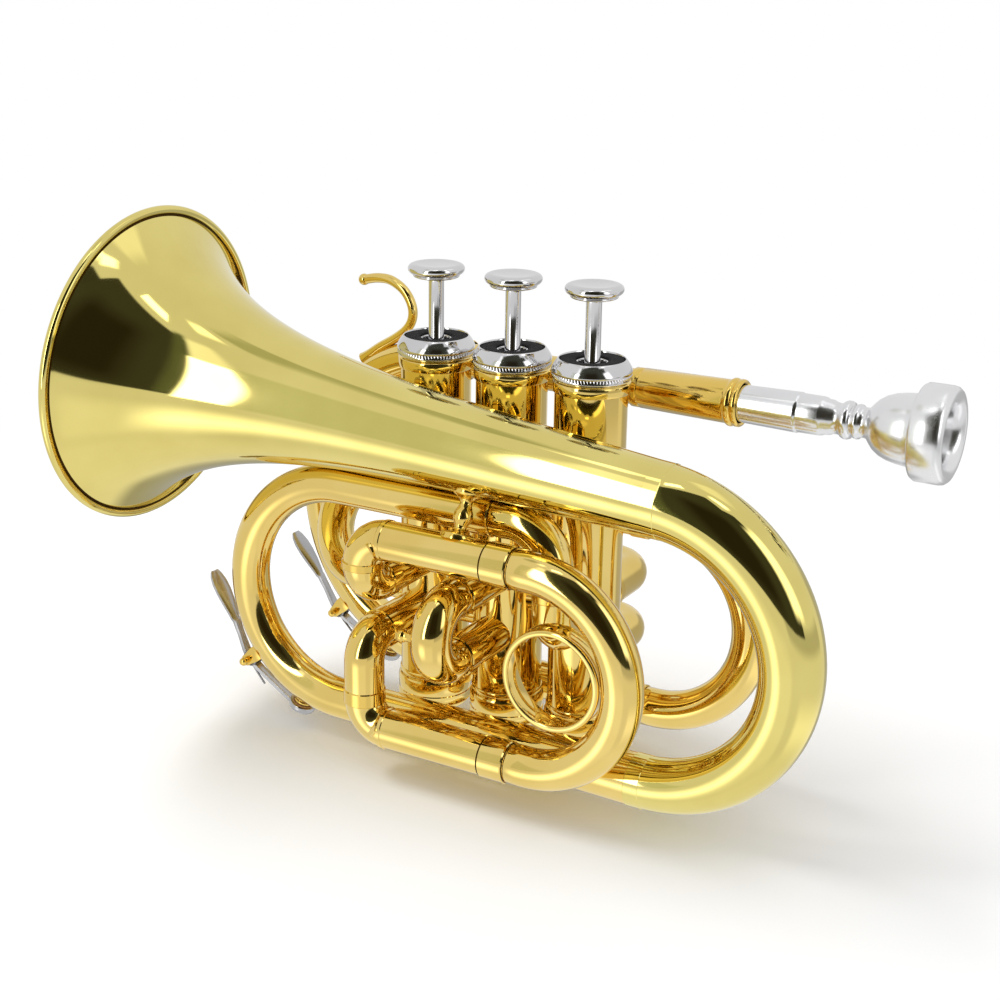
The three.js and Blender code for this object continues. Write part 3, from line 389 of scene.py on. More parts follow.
def bottom_cap():
    """A cup with a hollow in its foot, wide enough inside for the piston at full press."""
    foot = CAP_TOP - 113
    shape = turned(at_level(
        foot, (0.2, 1.0), (2.4, 1.0), (2.8, 0.7), (3.0, 0.15), (3.3, 0), (8.9, 0), (9.5, 0.15), (10.3, 0.9),
        (10.8, 1.7), (10.9, 2.1), (10.9, 2.2), (10.9, 4.6), (10.9, 4.7), (10.75, 5.0), (10.9, 5.3), (10.9, 8.9),
        (10.6, 9.5), (10.15, 9.5), (10.15, 5.95), (9.6, 5.9), (9.6, 2.2), (0.2, 2.2),
    ), sides=2 * KNURLS, closed=True)
    return knurl(shape, foot + 2.15, foot + 4.65, 10.9, 0.2)


def felt_ring():
    return turned(at_level(CAP_TOP, (4.5, -2.05), (9.0, -2.05), (9.0, -0.7), (8.85, -0.45), (8.4, -0.32),
                           (5.0, -0.34), (4.6, -0.5), (4.5, -0.8)), sides=96, closed=True)


def bearing_felt():
    return turned(at_level(CAP_TOP, (2.6, -1.85), (3.8, -1.85), (3.75, -1.35), (2.65, -1.35)),
                  sides=64, closed=True)


def casing():
    """The casing's wall, with a ring low down and another below the cap's thread."""
    foot, neck = CAP_TOP - 107, CAP_TOP - 5.4
    return turned([
        (9.1, foot), (CASING_R, foot), (CASING_R, -46.9), (10.35, -46.75), (10.45, -46.5), (10.45, -45.6),
        (10.35, -45.35), (CASING_R, -45.2),
        *at_level(neck, (CASING_R, -3.75), (10.3, -3.7), (10.62, -3.6), (10.75, -3.4), (10.75, -0.9),
                  (10.7, -0.75), (10.45, -0.65), (10.3, -0.5), (CASING_R, -0.3)),
        (CASING_R, CAP_TOP - 2.0), (9.1, CAP_TOP - 2.0),
    ], sides=112, closed=True)


def valve_stem():
    return turned([
        (0.2, 50.65), (8.2, 50.65), (8.3, 50.8), (8.3, 51.9), (8.1, 52.1), (2.9, 52.1), (2.45, 52.3),
        (2.2, 52.8), (2.2, 71.4), (2.3, 71.8),
    ], sides=64)


def finger_button():
    return turned([
        (2.25, 71.9), (2.4, 72.2), (2.8, 72.45), (3.6, 72.55), (5.6, 72.6), (6.2, 72.65), (6.5, 72.8),
        (6.62, 73.02), (6.6, 73.25), (6.45, 73.36), (6.4, 73.42), (6.5, 73.48), (6.9, 73.58), (7.35, 73.8),
        (7.72, 74.12), (7.95, 74.5), (8.05, 74.95), (7.98, 75.4), (7.75, 75.8), (7.4, 76.1), (6.95, 76.3),
        (6.45, 76.4), (5.95, 76.41), (5.2, 76.34), (4.0, 76.26), (2.4, 76.2), (1.0, 76.18), (0.2, 76.18),
    ], sides=112)


# Each piece of a valve is made once and copied to the three casings
for part, make, finish, slot in (
        ("casing", casing, brass, "lacquered_brass"), ("top_cap", top_cap, nickel, "bright_nickel"),
        ("bottom_cap", bottom_cap, brass, "bright_nickel"), ("cap_felt", felt_ring, felt, "black_felt"),
        ("bearing_felt", bearing_felt, felt, "black_felt"), ("stem", valve_stem, nickel, "bright_nickel"),
        ("button", finger_button, nickel, "bright_nickel")):
    first = make()
    for number, x in VALVE_X.items():
        piece = first.copy()
        piece.data = first.data.copy()
        bpy.context.collection.objects.link(piece)
        piece.location.x = x * MM
        body = f"valve_{number}" if part in ("stem", "button") else "trumpet"
        stood = [f"{part}_{number}"] if part != "bearing_felt" else []
        settle(piece, f"{part}_{number}_look", finish, body, slot, stood, sharp=50)
    bpy.data.objects.remove(first, do_unlink=True)

# Knuckles: short pipes between one casing and the next, coped into both
for left, right, height in ((3, 2, -24.0), (2, 1, -16.0)):
    pipe = cope(tube(Path((VALVE_X[left] + 8, 0, height), X).run(9), 5.2, PIPE_WALL), left, right)
    settle(pipe, f"knuckle_{left}_{right}_look", brass, *BRASS, [f"knuckle_{left}_{right}"])

# Bell: its mouth looks up a little, and the bottom run under it lies a little nearer to the valves
TILT_DEGREES = 4.3
TILT = math.radians(TILT_DEGREES)
BOW_R, BOW_X, BOTTOM = 40.9, 55.8, -53.2
BELL_Y, RUN_Y = -25, -22.5
MOUTH_X, RIM_R, BEAD_R = 109.4, 47.1, 1.25
BELL_HEAD = Vector((math.cos(TILT), 0, -math.sin(TILT)))
BELL_END = Vector((BOW_X + BOW_R * math.sin(TILT), BELL_Y, BOTTOM + BOW_R + BOW_R * math.cos(TILT)))
BELL_LONG = (BELL_END.x + MOUTH_X) / math.cos(TILT)
MOUTH = BELL_END - BELL_HEAD * BELL_LONG
# What the slow taper adds to the tail's radius at the mouth, how long it is and how it bends
TAPER_GAIN, TAPER_LONG, TAPER_POWER = 8.8, 440, 1.49
# The flare adds the rest: most of it dies away slowly, the turned-out lip quickly
FLARE_SHARE, FLARE_LONG, LIP_SHARE, LIP_LONG = 0.93, 31, 0.07, 6


def bell_radius(s):
    """The bell's taper, from the mouth to the end of the tail."""
    flare = RIM_R - BEAD_R - SLEEVE_R - TAPER_GAIN
    taper = TAPER_GAIN * max(0, 1 - s / TAPER_LONG) ** TAPER_POWER
    return SLEEVE_R + taper + flare * (FLARE_SHARE * math.exp(-s / FLARE_LONG)
                                       + LIP_SHARE * math.exp(-s / LIP_LONG))


# the stations stand closer together towards the mouth
stations = [BELL_LONG * (i / 72) ** 1.9 for i in range(73)]
outside = [(bell_radius(s), s) for s in stations]
inside = [(r - SHEET, s) for r, s in outside]
# the rim is rolled back over a wire: a fine groove shows where the sheet turns
groove = [(RIM_R - 2.05, 0.75), (RIM_R - 1.8, 0.5), (RIM_R - 1.85, 0.3)]
bead = [(RIM_R - BEAD_R + BEAD_R * math.cos(a), 0.62 + BEAD_R * math.sin(a))
        for a in [math.radians(-157 + 18 * k) for k in range(19)]]
horn = turned([p for p in reversed(inside) if p[1] > 0.9] + groove + bead + [p for p in outside if p[1] > 1.3],
              sides=160, closed=True)
settle(stand(horn, MOUTH, BELL_HEAD), "bell_look", brass_bell, *BRASS, ["bell"], sharp=60)

# a dark line where the sheet meets the rolled rim: painted shade of the groove there, with some lacquer gone
# dark
LINE_FROM, LINE_TO = 0.95, 1.4
line = turned([(bell_radius(s) + lift, s) for s, lift in (
    (LINE_FROM, 0.06), (LINE_TO, 0.06), (LINE_TO, -0.3), (LINE_FROM, -0.3))], sides=160, closed=True)
settle(stand(line, MOUTH, BELL_HEAD), "bell_rim_line", seam_grime_and_shade, *BRASS)

inwards = (-math.sin(TILT), 0, -math.cos(TILT))
bow_path = Path(BELL_END, BELL_HEAD).bend(inwards, BOW_R, 180 - TILT_DEGREES, 3).lean(RUN_Y - BELL_Y)
bow_long = bow_path.along[-1]
bow = tube(bow_path, lambda s: bell_radius(BELL_LONG + s), SHEET, 64)
settle(bow, "bell_bow_look", brass_bell, *BRASS, ["bell_bow"])
seat = ferrule(BELL_END - BELL_HEAD * 2.2, BELL_HEAD, 4.4, bell_radius(BELL_LONG) - 0.1, 0.18, 80)
settle(seat, "bell_seam_ring", brass_bell, *BRASS)
seat = ferrule((BOW_X - 2.6, RUN_Y, BOTTOM), X, 4.6, bell_radius(BELL_LONG + bow_long) - 0.1, 0.22, 80)
settle(seat, "bow_seam_ring", brass_bell, *BRASS)

# Bottom run, tail bow and the elbow that drops into valve 1
TAIL_R, TAIL_X, TAIL_SEAM = BOW_R * 0.817, -43.6, 8.0
TAIL_TOP = BOTTOM + 2 * TAIL_R
ELBOW_R, DROP_X, DROP_Y, PORT_1 = 13, 26, -21, -18
tail_from = BELL_LONG + bow_long + GAP
run_long = BOW_X - GAP - TAIL_X
tail_path = (Path((BOW_X - GAP, RUN_Y, BOTTOM), -X).run(run_long).bend(Z, TAIL_R, 180, 3)
             .run(TAIL_SEAM - TAIL_X).lean(DROP_Y - RUN_Y))
tail = tube(tail_path, lambda s: bell_radius(tail_from + s), SHEET, 56)
settle(tail, "bell_tail_look", brass, *BRASS, ["bell_tail"])
elbow_path = (Path((TAIL_SEAM + GAP, DROP_Y, TAIL_TOP), X).run(DROP_X - ELBOW_R - TAIL_SEAM - GAP)
              .bend(-Z, ELBOW_R, 90).run(TAIL_TOP - ELBOW_R - PORT_1 - TURN_IN)
              .bend(Y, TURN_IN, 90).run(-DROP_Y - TURN_IN))
elbow = cope(tube(elbow_path, SLEEVE_R, SHEET), 1)
settle(elbow, "tail_elbow_look", brass, *BRASS, ["tail_elbow"])
for name, point, heading, long in (
        ("tail_ferrule", (TAIL_SEAM - 6.5, DROP_Y, TAIL_TOP), X, 6.4),
        ("drop_ferrule", (DROP_X, DROP_Y, TAIL_TOP - ELBOW_R - 2.6), -Z, 5.0),
        ("port_collar_1", (25.6, -14.2, PORT_1), Y, 3.4)):
    settle(ferrule(point, heading, long, SLEEVE_R), name, brass_fitting, *BRASS)

# Leadpipe and main tuning slide
LEAD_Z, LEAD_Y, LEAD_R, LEAD_X = 43.8, 21.0, 47.4, -32.0
PIPE_FROM, PIPE_LONG, PIPE_R = 27.7, 59.4, 5.1
TUNE_Y, TUNE_R, TUNE_X, TUNE_MOUTH = 17.5, 29.0, 40.0, 37
BACK_X, BACK_R = -52, 14
LOW = LEAD_Z - 2 * LEAD_R
HIGH = LOW + 2 * TUNE_R
lead = tube(Path((PIPE_FROM, LEAD_Y, LEAD_Z), -X).run(PIPE_LONG), PIPE_R, PIPE_WALL)
settle(lead, "leadpipe_look", brass, *BRASS, ["leadpipe"])
lead_path = Path((LEAD_X, LEAD_Y, LEAD_Z), -X).bend(-Z, LEAD_R, 180, 3).lean(TUNE_Y - LEAD_Y)
settle(tube(lead_path, SLEEVE_R, BOW_WALL), "leadpipe_bow_look", brass, *BRASS, ["leadpipe_bow"])
for name, start, heading, long in (
        ("lower", (LEAD_X + GAP, TUNE_Y, LOW), X, TUNE_MOUTH - LEAD_X - GAP),
        ("upper", (TUNE_MOUTH, TUNE_Y, HIGH), -X, TUNE_MOUTH - BACK_X - GAP)):
    settle(tube(Path(start, heading).run(long), SLEEVE_R, SLEEVE_WALL),
           f"tuning_sleeve_{name}_look", brass, *BRASS, [f"tuning_sleeve_{name}"])
back_path = (Path((BACK_X, TUNE_Y, HIGH), -X).bend(-Z, BACK_R, 180, 4).lean(-TUNE_Y)
             .run(VALVE_X[3] - BACK_X))
settle(cope(tube(back_path, SLEEVE_R, BOW_WALL), 3), "return_bow_look", brass, *BRASS, ["return_bow"])
for name, point, long in (
        ("lead_ferrule", (LEAD_X - 0.4, LEAD_Y, LEAD_Z), 6.5), ("low_ferrule", (LEAD_X - 3, TUNE_Y, LOW), 6.0),
        ("return_ferrule", (BACK_X - 3, TUNE_Y, HIGH), 6.0), ("tuning_ferrule_low", (31.5, TUNE_Y, LOW), 5.4),
        ("tuning_ferrule_high", (31.5, TUNE_Y, HIGH), 5.4), ("inlet_collar_3", (-38.4, 0, -19), 3.4)):
    settle(ferrule(point, X, long, SLEEVE_R), name, brass_fitting, *BRASS)

# How far a slide's inner leg stands in its bow
IN_BOW = 1.5


def crook(name, start, heading, toward, insert, straight, radius, body, nodes):
    """A slide's bow with the two inner legs that run into its sleeves."""
    start, heading, toward = Vector(start), Vector(heading), Vector(toward)
    bow_line = Path(start, heading).run(straight).bend(toward, radius, 180, 3.5).run(straight)
    bow = soften(tube(bow_line, SLEEVE_R, BOW_WALL), 0.18)
    legs = [tube(Path(foot - heading * insert, heading).run(insert + IN_BOW), INNER_R, LEG_WALL)
            for foot in (start, start + toward * 2 * radius)]
    settle(bow, name + "_look", brass, body, "lacquered_brass", nodes)
    for i, leg in enumerate(legs):
        settle(leg, f"{name}_leg_{i + 1}", nickel, body, "lacquered_brass")


CROOK_X = 37.3
crook("tuning_crook", (CROOK_X, TUNE_Y, LOW), X, Z, 34, TUNE_X - CROOK_X, TUNE_R, "tuning_slide",
      ["tuning_crook"])

# Receiver: a tapered socket with two beads at its mouth
socket = turned([
    (4.7, 28.0), (5.35, 28.0), (5.6, 28.3), (5.6, 30.4), (5.45, 30.7), (5.7, 31.0), (6.1, 56.4), (6.2, 57.1),
    (6.5, 57.4), (6.7, 57.8), (6.75, 58.2), (6.65, 58.6), (6.4, 58.95), (6.2, 59.15), (6.4, 59.4), (6.6, 59.7),
    (6.6, 60.5), (6.4, 60.85), (5.9, 61.0), (5.5, 60.7), (5.1, 36.0),
], sides=96, closed=True)
settle(stand(socket, (0, LEAD_Y, LEAD_Z), X), "receiver_look", brass_fitting, *BRASS, ["receiver"], sharp=50)

# Mouthpiece: plated all over, with the shank's seam, two beads, a bowl and a wide rim
mouth = turned([
    (4.1, 36.0), (4.75, 36.05), (5.2, 61.0), (5.55, 76.8), (5.55, 77.3), (5.3, 77.6), (5.35, 78.0), (5.3, 83.6),
    (5.15, 84.4), (4.85, 85.0), (4.75, 86.4), (4.35, 87.4), (4.2, 88.6), (4.35, 89.3), (4.9, 89.8), (5.2, 90.5),
    (5.2, 91.3), (4.9, 92.0), (4.3, 92.3), (4.25, 92.9), (4.6, 93.3), (4.75, 93.9), (4.6, 94.5), (4.25, 94.8),
    (4.1, 95.6), (4.1, 96.4), (4.4, 96.9), (5.5, 97.8), (6.9, 99.1), (8.1, 100.9), (8.95, 103.1), (9.45, 105.6),
    (9.75, 108.2), (9.9, 110.0), (10.1, 110.4), (12.0, 110.5), (12.7, 110.7), (13.1, 111.4), (13.1, 117.4),
    (12.9, 118.5), (12.3, 119.25), (11.4, 119.6), (10.5, 119.6), (9.6, 119.3), (8.8, 118.7), (8.25, 117.8),
    (7.9, 116.4), (7.4, 113.8), (6.2, 111.2), (4.2, 109.2), (2.4, 107.8), (1.9, 106.4), (1.9, 100.0),
    (2.4, 94.0), (3.4, 60.0),
], sides=128, closed=True)
settle(stand(mouth, (0, LEAD_Y, LEAD_Z), X), "mouthpiece_look", nickel_satin, "mouthpiece_body",
       "bright_nickel", ["mouthpiece"], sharp=50)

# Third slide: each elbow drops or climbs from its sleeve to the height of its port on valve 3
THIRD_Y, UP, DOWN = -37.5, 6.6, -50.0
THIRD_R = (UP - DOWN) / 2
THIRD_CROOK_X, THIRD_BEND_X = 23.7, 27.8
# the elbow starts 0.3 inside its bend, so its first run goes back by that much, under the sleeve's ring
ELBOW_X, TIGHT_R = -17.3, 8
# the rings on the three valve slides are thinner than the other ones
THIN = 0.3
for name, leg, port in (("third_elbow_upper", UP, -8.6), ("third_elbow_lower", DOWN, -24.0)):
    way = 1 if port > leg else -1
    drop = abs(port - leg) - TIGHT_R - TURN_IN
    line = (Path((ELBOW_X, THIRD_Y, leg), -X).run(ELBOW_X - VALVE_X[3] - TIGHT_R)
            .bend((0, 0, way), TIGHT_R, 90).run(drop).bend(Y, TURN_IN, 90).run(-THIRD_Y - TURN_IN))
    settle(cope(tube(line, SLEEVE_R, BOW_WALL), 3), name + "_look", brass, *BRASS, [name])
    corner = Vector((VALVE_X[3], THIRD_Y, leg + way * TIGHT_R))
    ring = ferrule(corner + Vector((0, 0, -way * 1.2)), (0, 0, way), min(4.2, drop + 2.4), SLEEVE_R, THIN)
    settle(ring, name + "_ferrule", brass_fitting, *BRASS)
    settle(ferrule((VALVE_X[3], THIRD_Y + TURN_IN, port), Y, 4.5, SLEEVE_R, THIN), name + "_collar",
           brass_fitting, *BRASS)
for name, leg in (("third_sleeve_upper", UP), ("third_sleeve_lower", DOWN)):
    sleeve = tube(Path((-17, THIRD_Y, leg), X).run(40.4), SLEEVE_R, SLEEVE_WALL)
    settle(sleeve, name + "_look", brass, *BRASS, [name])
    settle(ferrule((15.4, THIRD_Y, leg), X, 7.6, SLEEVE_R, THIN), name + "_ferrule", brass, *BRASS)
    # dark lines at the ring's near end and in the gap before the crook: painted shade of the seam and the gap,
    # with some grime
    seam(name + "_seam_line", (15.1, THIRD_Y, leg), X, SLEEVE_R)
    seam(name + "_joint_line", (23.05, THIRD_Y, leg), X, SLEEVE_R)
    settle(ferrule((-17.8, THIRD_Y, leg), X, 1.5, SLEEVE_R, 0.2), name + "_seam", brass, *BRASS)
crook("third_crook", (THIRD_CROOK_X, THIRD_Y, DOWN), X, Z, 34, THIRD_BEND_X - THIRD_CROOK_X, THIRD_R,
      "third_slide", ["third_crook"])

# Finger ring: a flat band, rounded over at its edges, brazed inside the crook
BAND_R = 14.3
RING = Vector((THIRD_BEND_X + THIRD_R - SLEEVE_R - BAND_R, THIRD_Y, (UP + DOWN) / 2))
band = turned([
    (12.75, -3.3), (13.0, -3.45), (13.9, -3.45), (BAND_R, -3.2), (14.45, -2.7), (BAND_R, -2.1), (14.05, -1.6),
    (14.05, 1.6), (BAND_R, 2.1), (14.45, 2.7), (BAND_R, 3.2), (13.9, 3.45), (13.0, 3.45), (12.75, 3.3),
    (12.6, 2.9), (12.55, 0), (12.6, -2.9),
], sides=120, closed=True)
settle(stand(band, RING, Y), "finger_ring_look", brass, "third_slide", "lacquered_brass", ["finger_ring"],
       sharp=50)

# Second slide: two sleeves straight out of valve 2, and its crook with a pull knob
SECOND_Z, SMALL_R = -18.2, 9.0
# The sleeves of both small slides start here inside the casing, and are coped off at its wall
IN_CASING = 8
SECOND_CROOK_Y, SECOND_BEND_Y = 29.3, 32.7
for name, height in (("second_sleeve_upper", SECOND_Z + SMALL_R), ("second_sleeve_lower", SECOND_Z - SMALL_R)):
    sleeve = cope(tube(Path((0, -IN_CASING, height), -Y).run(21), SLEEVE_R, SLEEVE_WALL), 2)
    settle(sleeve, name + "_look", brass, *BRASS, [name])
    settle(ferrule((0, -29.1, height), Y, 5.0, SLEEVE_R, THIN), name + "_ferrule", brass_fitting, *BRASS)
crook("second_crook", (0, -SECOND_CROOK_Y, SECOND_Z - SMALL_R), -Y, Z, 16, SECOND_BEND_Y - SECOND_CROOK_Y,
      SMALL_R, "second_slide", ["second_crook"])
pull = turned([
    (0.2, -0.8), (1.9, -0.8), (1.6, 0.2), (1.45, 1.2), (1.45, 2.4), (1.6, 2.8), (1.85, 3.0), (1.95, 3.3),
    (1.95, 4.0), (1.8, 4.4), (1.4, 4.75), (0.3, 4.9),
], sides=48)
settle(stand(pull, (-5.7, -41.7, SECOND_Z), -X), "second_knob_look", brass_fitting, "second_slide",
       "lacquered_brass", ["second_knob"])

# First slide: two sleeves that turn forward beside valve 1
FIRST_Z, FIRST_Y, FIRST_ELBOW_R = -24.0, 33.0, 7.5
FIRST_CROOK_X, FIRST_BEND_X = 18.3, 22
for name, height in (("first_sleeve_upper", FIRST_Z + SMALL_R), ("first_sleeve_lower", FIRST_Z - SMALL_R)):
    line = (Path((VALVE_X[1], IN_CASING, height), Y).run(FIRST_Y - FIRST_ELBOW_R - IN_CASING)
            .bend(-X, FIRST_ELBOW_R, 90).run(VALVE_X[1] - FIRST_ELBOW_R + 18))
    settle(cope(tube(line, SLEEVE_R, SLEEVE_WALL), 1), name + "_look", brass, *BRASS, [name])
    settle(ferrule((-18.1, FIRST_Y, height), X, 5.0, SLEEVE_R, THIN), name + "_ferrule", brass_fitting, *BRASS)
    settle(ferrule((VALVE_X[1], 11.2, height), Y, 3.0, SLEEVE_R, THIN), name + "_collar", brass_fitting, *BRASS)
crook("first_crook", (-FIRST_CROOK_X, FIRST_Y, FIRST_Z - SMALL_R), -X, Z, 30, FIRST_BEND_X - FIRST_CROOK_X,
      SMALL_R, "first_slide", ["first_crook"])

# Brace: a turned post from the third slide's upper sleeve to the bell, stretched to the room between them
BRACE_X, POST_TALL = 4.4, 17.2
brace_at = (BRACE_X + MOUTH_X) / math.cos(TILT)
brace_point = MOUTH + BELL_HEAD * brace_at
foot = Vector((BRACE_X, THIRD_Y, UP))
way = brace_point - foot
way.x = 0
span = way.length - bell_radius(brace_at)
post = turned([
    (5.0, 4.2), (5.0, 5.6), (4.6, 6.1), (3.2, 6.5), (2.2, 7.0), (1.7, 7.8), (1.75, 8.6), (2.4, 9.6),
    (2.75, 10.9), (2.6, 12.2), (2.1, 13.4), (1.7, 14.5), (1.7, 15.3), (2.1, 16.0), (3.0, 16.6),
    (4.0, POST_TALL), (4.2, 17.8), (4.0, 20.0),
], sides=72)
post.data.transform(Matrix.Diagonal((1, 1, (span - 0.3) / POST_TALL, 1)))
settle(stand(post, foot, way), "bell_brace_look", brass_fitting, *BRASS, ["bell_brace"], sharp=50)

# Finger hook: a bent rod whose bends are given as shares of its width and height
HOOK_X, HOOK_Z, HOOK_WIDE, HOOK_TALL = -64, 39, 19, 25.6
hook_points = [(0, 0), (0.28, 0.17), (0.58, 0.31), (0.8, 0.44), (0.91, 0.58), (0.9, 0.74), (0.76, 0.9),
               (0.52, 1), (0.27, 1.01), (0, 0.97)]
hook_knots = [Vector((HOOK_X + HOOK_WIDE * a, LEAD_Y, HOOK_Z + HOOK_TALL * b)) for a, b in hook_points]


def through(knots, steps=10):
    """A smooth line through points, as the CAD model's own spline runs."""
    ends = [knots[0] * 2 - knots[1]] + knots + [knots[-1] * 2 - knots[-2]]
    line = []
    for a, b, c, d in zip(ends, ends[1:], ends[2:], ends[3:]):
        for i in range(steps):
            t = i / steps
            line.append(0.5 * (2 * b + (c - a) * t + (2 * a - 5 * b + 4 * c - d) * t * t
                               + (3 * b - a - 3 * c + d) * t ** 3))
    path = Path(line[0], line[1] - line[0])
    for p in line[1:] + [knots[-1]]:
        path.along.append(path.along[-1] + (p - path.points[-1]).length)
        path.headings.append((p - path.points[-1]).normalized())
        path.points.append(p)
    return path


# the rod is thicker at its foot, in the solder, and ends in a ball
rod = tube(through(hook_knots), lambda s: 1.45 + 0.9 * math.exp(-s / 3.0), 0, 32)
bpy.ops.object.select_all(action="DESELECT")
bpy.ops.mesh.primitive_uv_sphere_add(segments=32, ring_count=20, radius=1.75 * MM, location=hook_knots[-1] * MM)
ball = bpy.context.active_object
bpy.ops.object.transform_apply(location=True)
settle(join(rod, ball), "finger_hook_look", brass, *BRASS, ["finger_hook"])

# Water keys. How far round the bow the cup stands from the hinge, and heights over the bow
CUP_REACH, PIVOT_UP, NIPPLE, CORK_TOP = 20.0, 4.2, 1.1, 2.8
# The saddle's ears: their place beside the middle, and how far below the hinge they widen
EAR_Y, EAR_FOOT = 2.9, -3.6
# The lever's thumb end was drawn over a bow of this radius, and starts beyond this reach
DRAWN_OVER, THUMB_FROM = 39, 3
# The spring's coil: its radius, and how far on and how many degrees round each point stands
COIL_R, COIL_STEP, COIL_TURN = 2.15, 0.7, 18


def water_key(number, centre, bow_radius, bow_tube, degrees, body):
    """Nipple and saddle on the bow, and the lever that rocks on them with its cup, cork and spring."""
    down = math.radians(degrees)
    n = Vector((-math.cos(down), 0, -math.sin(down)))
    t = Vector((-math.sin(down), 0, math.cos(down)))
    surface = bow_radius + bow_tube
    lower = down + CUP_REACH / surface
    out_way = Vector((-math.cos(lower), 0, -math.sin(lower)))
    centre = Vector(centre)
    pivot = centre + n * (surface + PIVOT_UP)
    nipple_at = centre + out_way * surface
    to_bow = Matrix((t, n.cross(t), n)).transposed().to_4x4()
    place = Matrix.Translation(pivot * MM) @ to_bow

    nipple = turned([(1.2, -2.2), (3.6, -2.2), (3.5, -0.5), (3.15, -0.1), (2.9, 0.3), (2.8, 0.7), (2.9, 0.95),
                     (2.75, NIPPLE), (1.2, NIPPLE)], sides=48, closed=True)
    settle(stand(nipple, nipple_at, out_way), f"water_key_nipple_{number}", brass_fitting, *BRASS)

    blocks = []
    for side in (-1, 1):
        bpy.ops.object.select_all(action="DESELECT")
        bpy.ops.mesh.primitive_cylinder_add(vertices=40, radius=1.75 * MM, depth=1.2 * MM,
                                            location=(0, side * EAR_Y * MM, 0), rotation=(math.pi / 2, 0, 0))
        ear = bpy.context.active_object
        bpy.ops.object.transform_apply(location=True, rotation=True)
        bpy.ops.object.mode_set(mode="EDIT")
        bpy.ops.mesh.select_all(action="SELECT")
        bpy.ops.mesh.bisect(plane_co=(0, 0, -0.4 * MM), plane_no=(0, 0, 1), clear_inner=True, use_fill=True)
        bpy.ops.mesh.select_mode(type="FACE")
        bpy.ops.mesh.select_all(action="DESELECT")
        bpy.ops.object.mode_set(mode="OBJECT")
        for face in ear.data.polygons:
            face.select = face.normal.z < -0.9
        bpy.ops.object.mode_set(mode="EDIT")
        bpy.ops.mesh.extrude_region_move(TRANSFORM_OT_translate={"value": (0, 0, -3.2 * MM)})
        bpy.ops.transform.resize(value=(1.35, 1, 1), center_override=(0, side * EAR_Y * MM, EAR_FOOT * MM))
        bpy.ops.mesh.extrude_region_move(TRANSFORM_OT_translate={"value": (0, 0, -2.6 * MM)})
        bpy.ops.object.mode_set(mode="OBJECT")
        blocks.append(soften(ear, 0.15))
    blocks.append(stand(turned([(0.2, -5.0), (0.75, -5.0), (0.8, 5.0), (0.2, 5.0)], sides=24), (0, 0, 0), Y))
    for side in (-1, 1):
        bead = turned([(0.3, 3.4), (0.9, 3.5), (1.2, 4.0), (1.3, 4.6), (1.15, 5.3), (0.8, 5.75), (0.3, 5.9)],
                      sides=32)
        blocks.append(stand(bead, (0, 0, 0), Y * side))
    saddle = join(*blocks)
    saddle.data.transform(place)
    settle(saddle, f"water_key_saddle_{number}", brass_fitting, *BRASS)

    top = nipple_at + out_way * CORK_TOP
    local = top - pivot
    cup_t, cup_n = local.dot(t), local.dot(n) + 0.9
    # the lever is one stamped strip: round at the hinge, narrow to the cup, a leaf for the thumb
    strip = [(cup_t - 1.5, cup_n - 0.5, 1.2), (cup_t, cup_n, 1.7), (cup_t * 0.75, cup_n * 0.62, 1.3),
             (cup_t * 0.4, cup_n * 0.2, 1.25), (cup_t * 0.12, 0.5, 1.5), (0, 1.0, 1.7), (3.0, 0.7, 1.4),
             (8.0, -0.9, 1.15), (12.0, -2.1, 1.3), (15.0, -2.95, 1.9), (18.0, -3.65, 2.5), (21.5, -4.3, 2.9),
             (24.5, -4.75, 2.85), (27.0, -5.1, 2.2), (28.4, -5.3, 1.3)]
    # the thumb end follows the bow down, and the wider bow falls away less
    strip = [(a, h * min(1, DRAWN_OVER / surface) if a > THUMB_FROM else h, half) for a, h, half in strip]
    fine = [[p + (q - p) * i / 3 for p, q in zip(a, b)] for a, b in zip(strip, strip[1:]) for i in range(3)]
    fine.append(strip[-1])
    bpy.ops.object.select_all(action="DESELECT")
    bpy.ops.mesh.primitive_plane_add(size=1)
    lever = bpy.context.active_object
    bpy.ops.object.mode_set(mode="EDIT")
    bpy.ops.mesh.select_all(action="SELECT")
    bpy.ops.mesh.subdivide(number_cuts=len(fine) - 2)
    bpy.ops.object.mode_set(mode="OBJECT")
    count = len(fine) - 1
    # the leaf's edges turn up round the thumb, and the strip's edges turn down a little
    for v in lever.data.vertices:
        a, h, half = fine[round((v.co.x + 0.5) * count)]
        across = v.co.y * 2
        curl = 0.35 * (across * across) * (1 if a > 12 else -0.3)
        v.co = Vector((a, across * half, h + curl)) * MM
    add_modifier(lever, "SOLIDIFY", thickness=1.1 * MM, offset=0)
    soften(lever, 0.28, 3)
    hinge = stand(turned([(1.05, -1.95), (1.75, -1.95), (1.8, -1.8), (1.8, 1.8), (1.75, 1.95), (1.05, 1.95)],
                         sides=40, closed=True), (0, 0, 0), Y)
    lever = join(lever, hinge)
    lever.data.transform(place)
    cup = turned([(3.45, -1.3), (4.0, -1.3), (4.1, -1.15), (4.1, 0.1), (3.95, 0.5), (3.5, 0.8), (2.4, 1.0),
                  (0.3, 1.1)], sides=56)
    cup = stand(cup, top + out_way * 0.12, out_way)
    settle(join(lever, cup), f"water_key_{number}_look", lever_metal, body, "bright_nickel",
           [f"water_key_{number}"], sharp=50)
    stopper = turned([(0.3, 1.42), (3.1, 1.42), (3.3, 1.6), (3.3, 2.6), (3.1, CORK_TOP), (0.3, CORK_TOP)],
                     sides=48)
    settle(stand(stopper, nipple_at, out_way), f"water_key_cork_{number}_look", cork, body, "cork",
           [f"water_key_cork_{number}"])
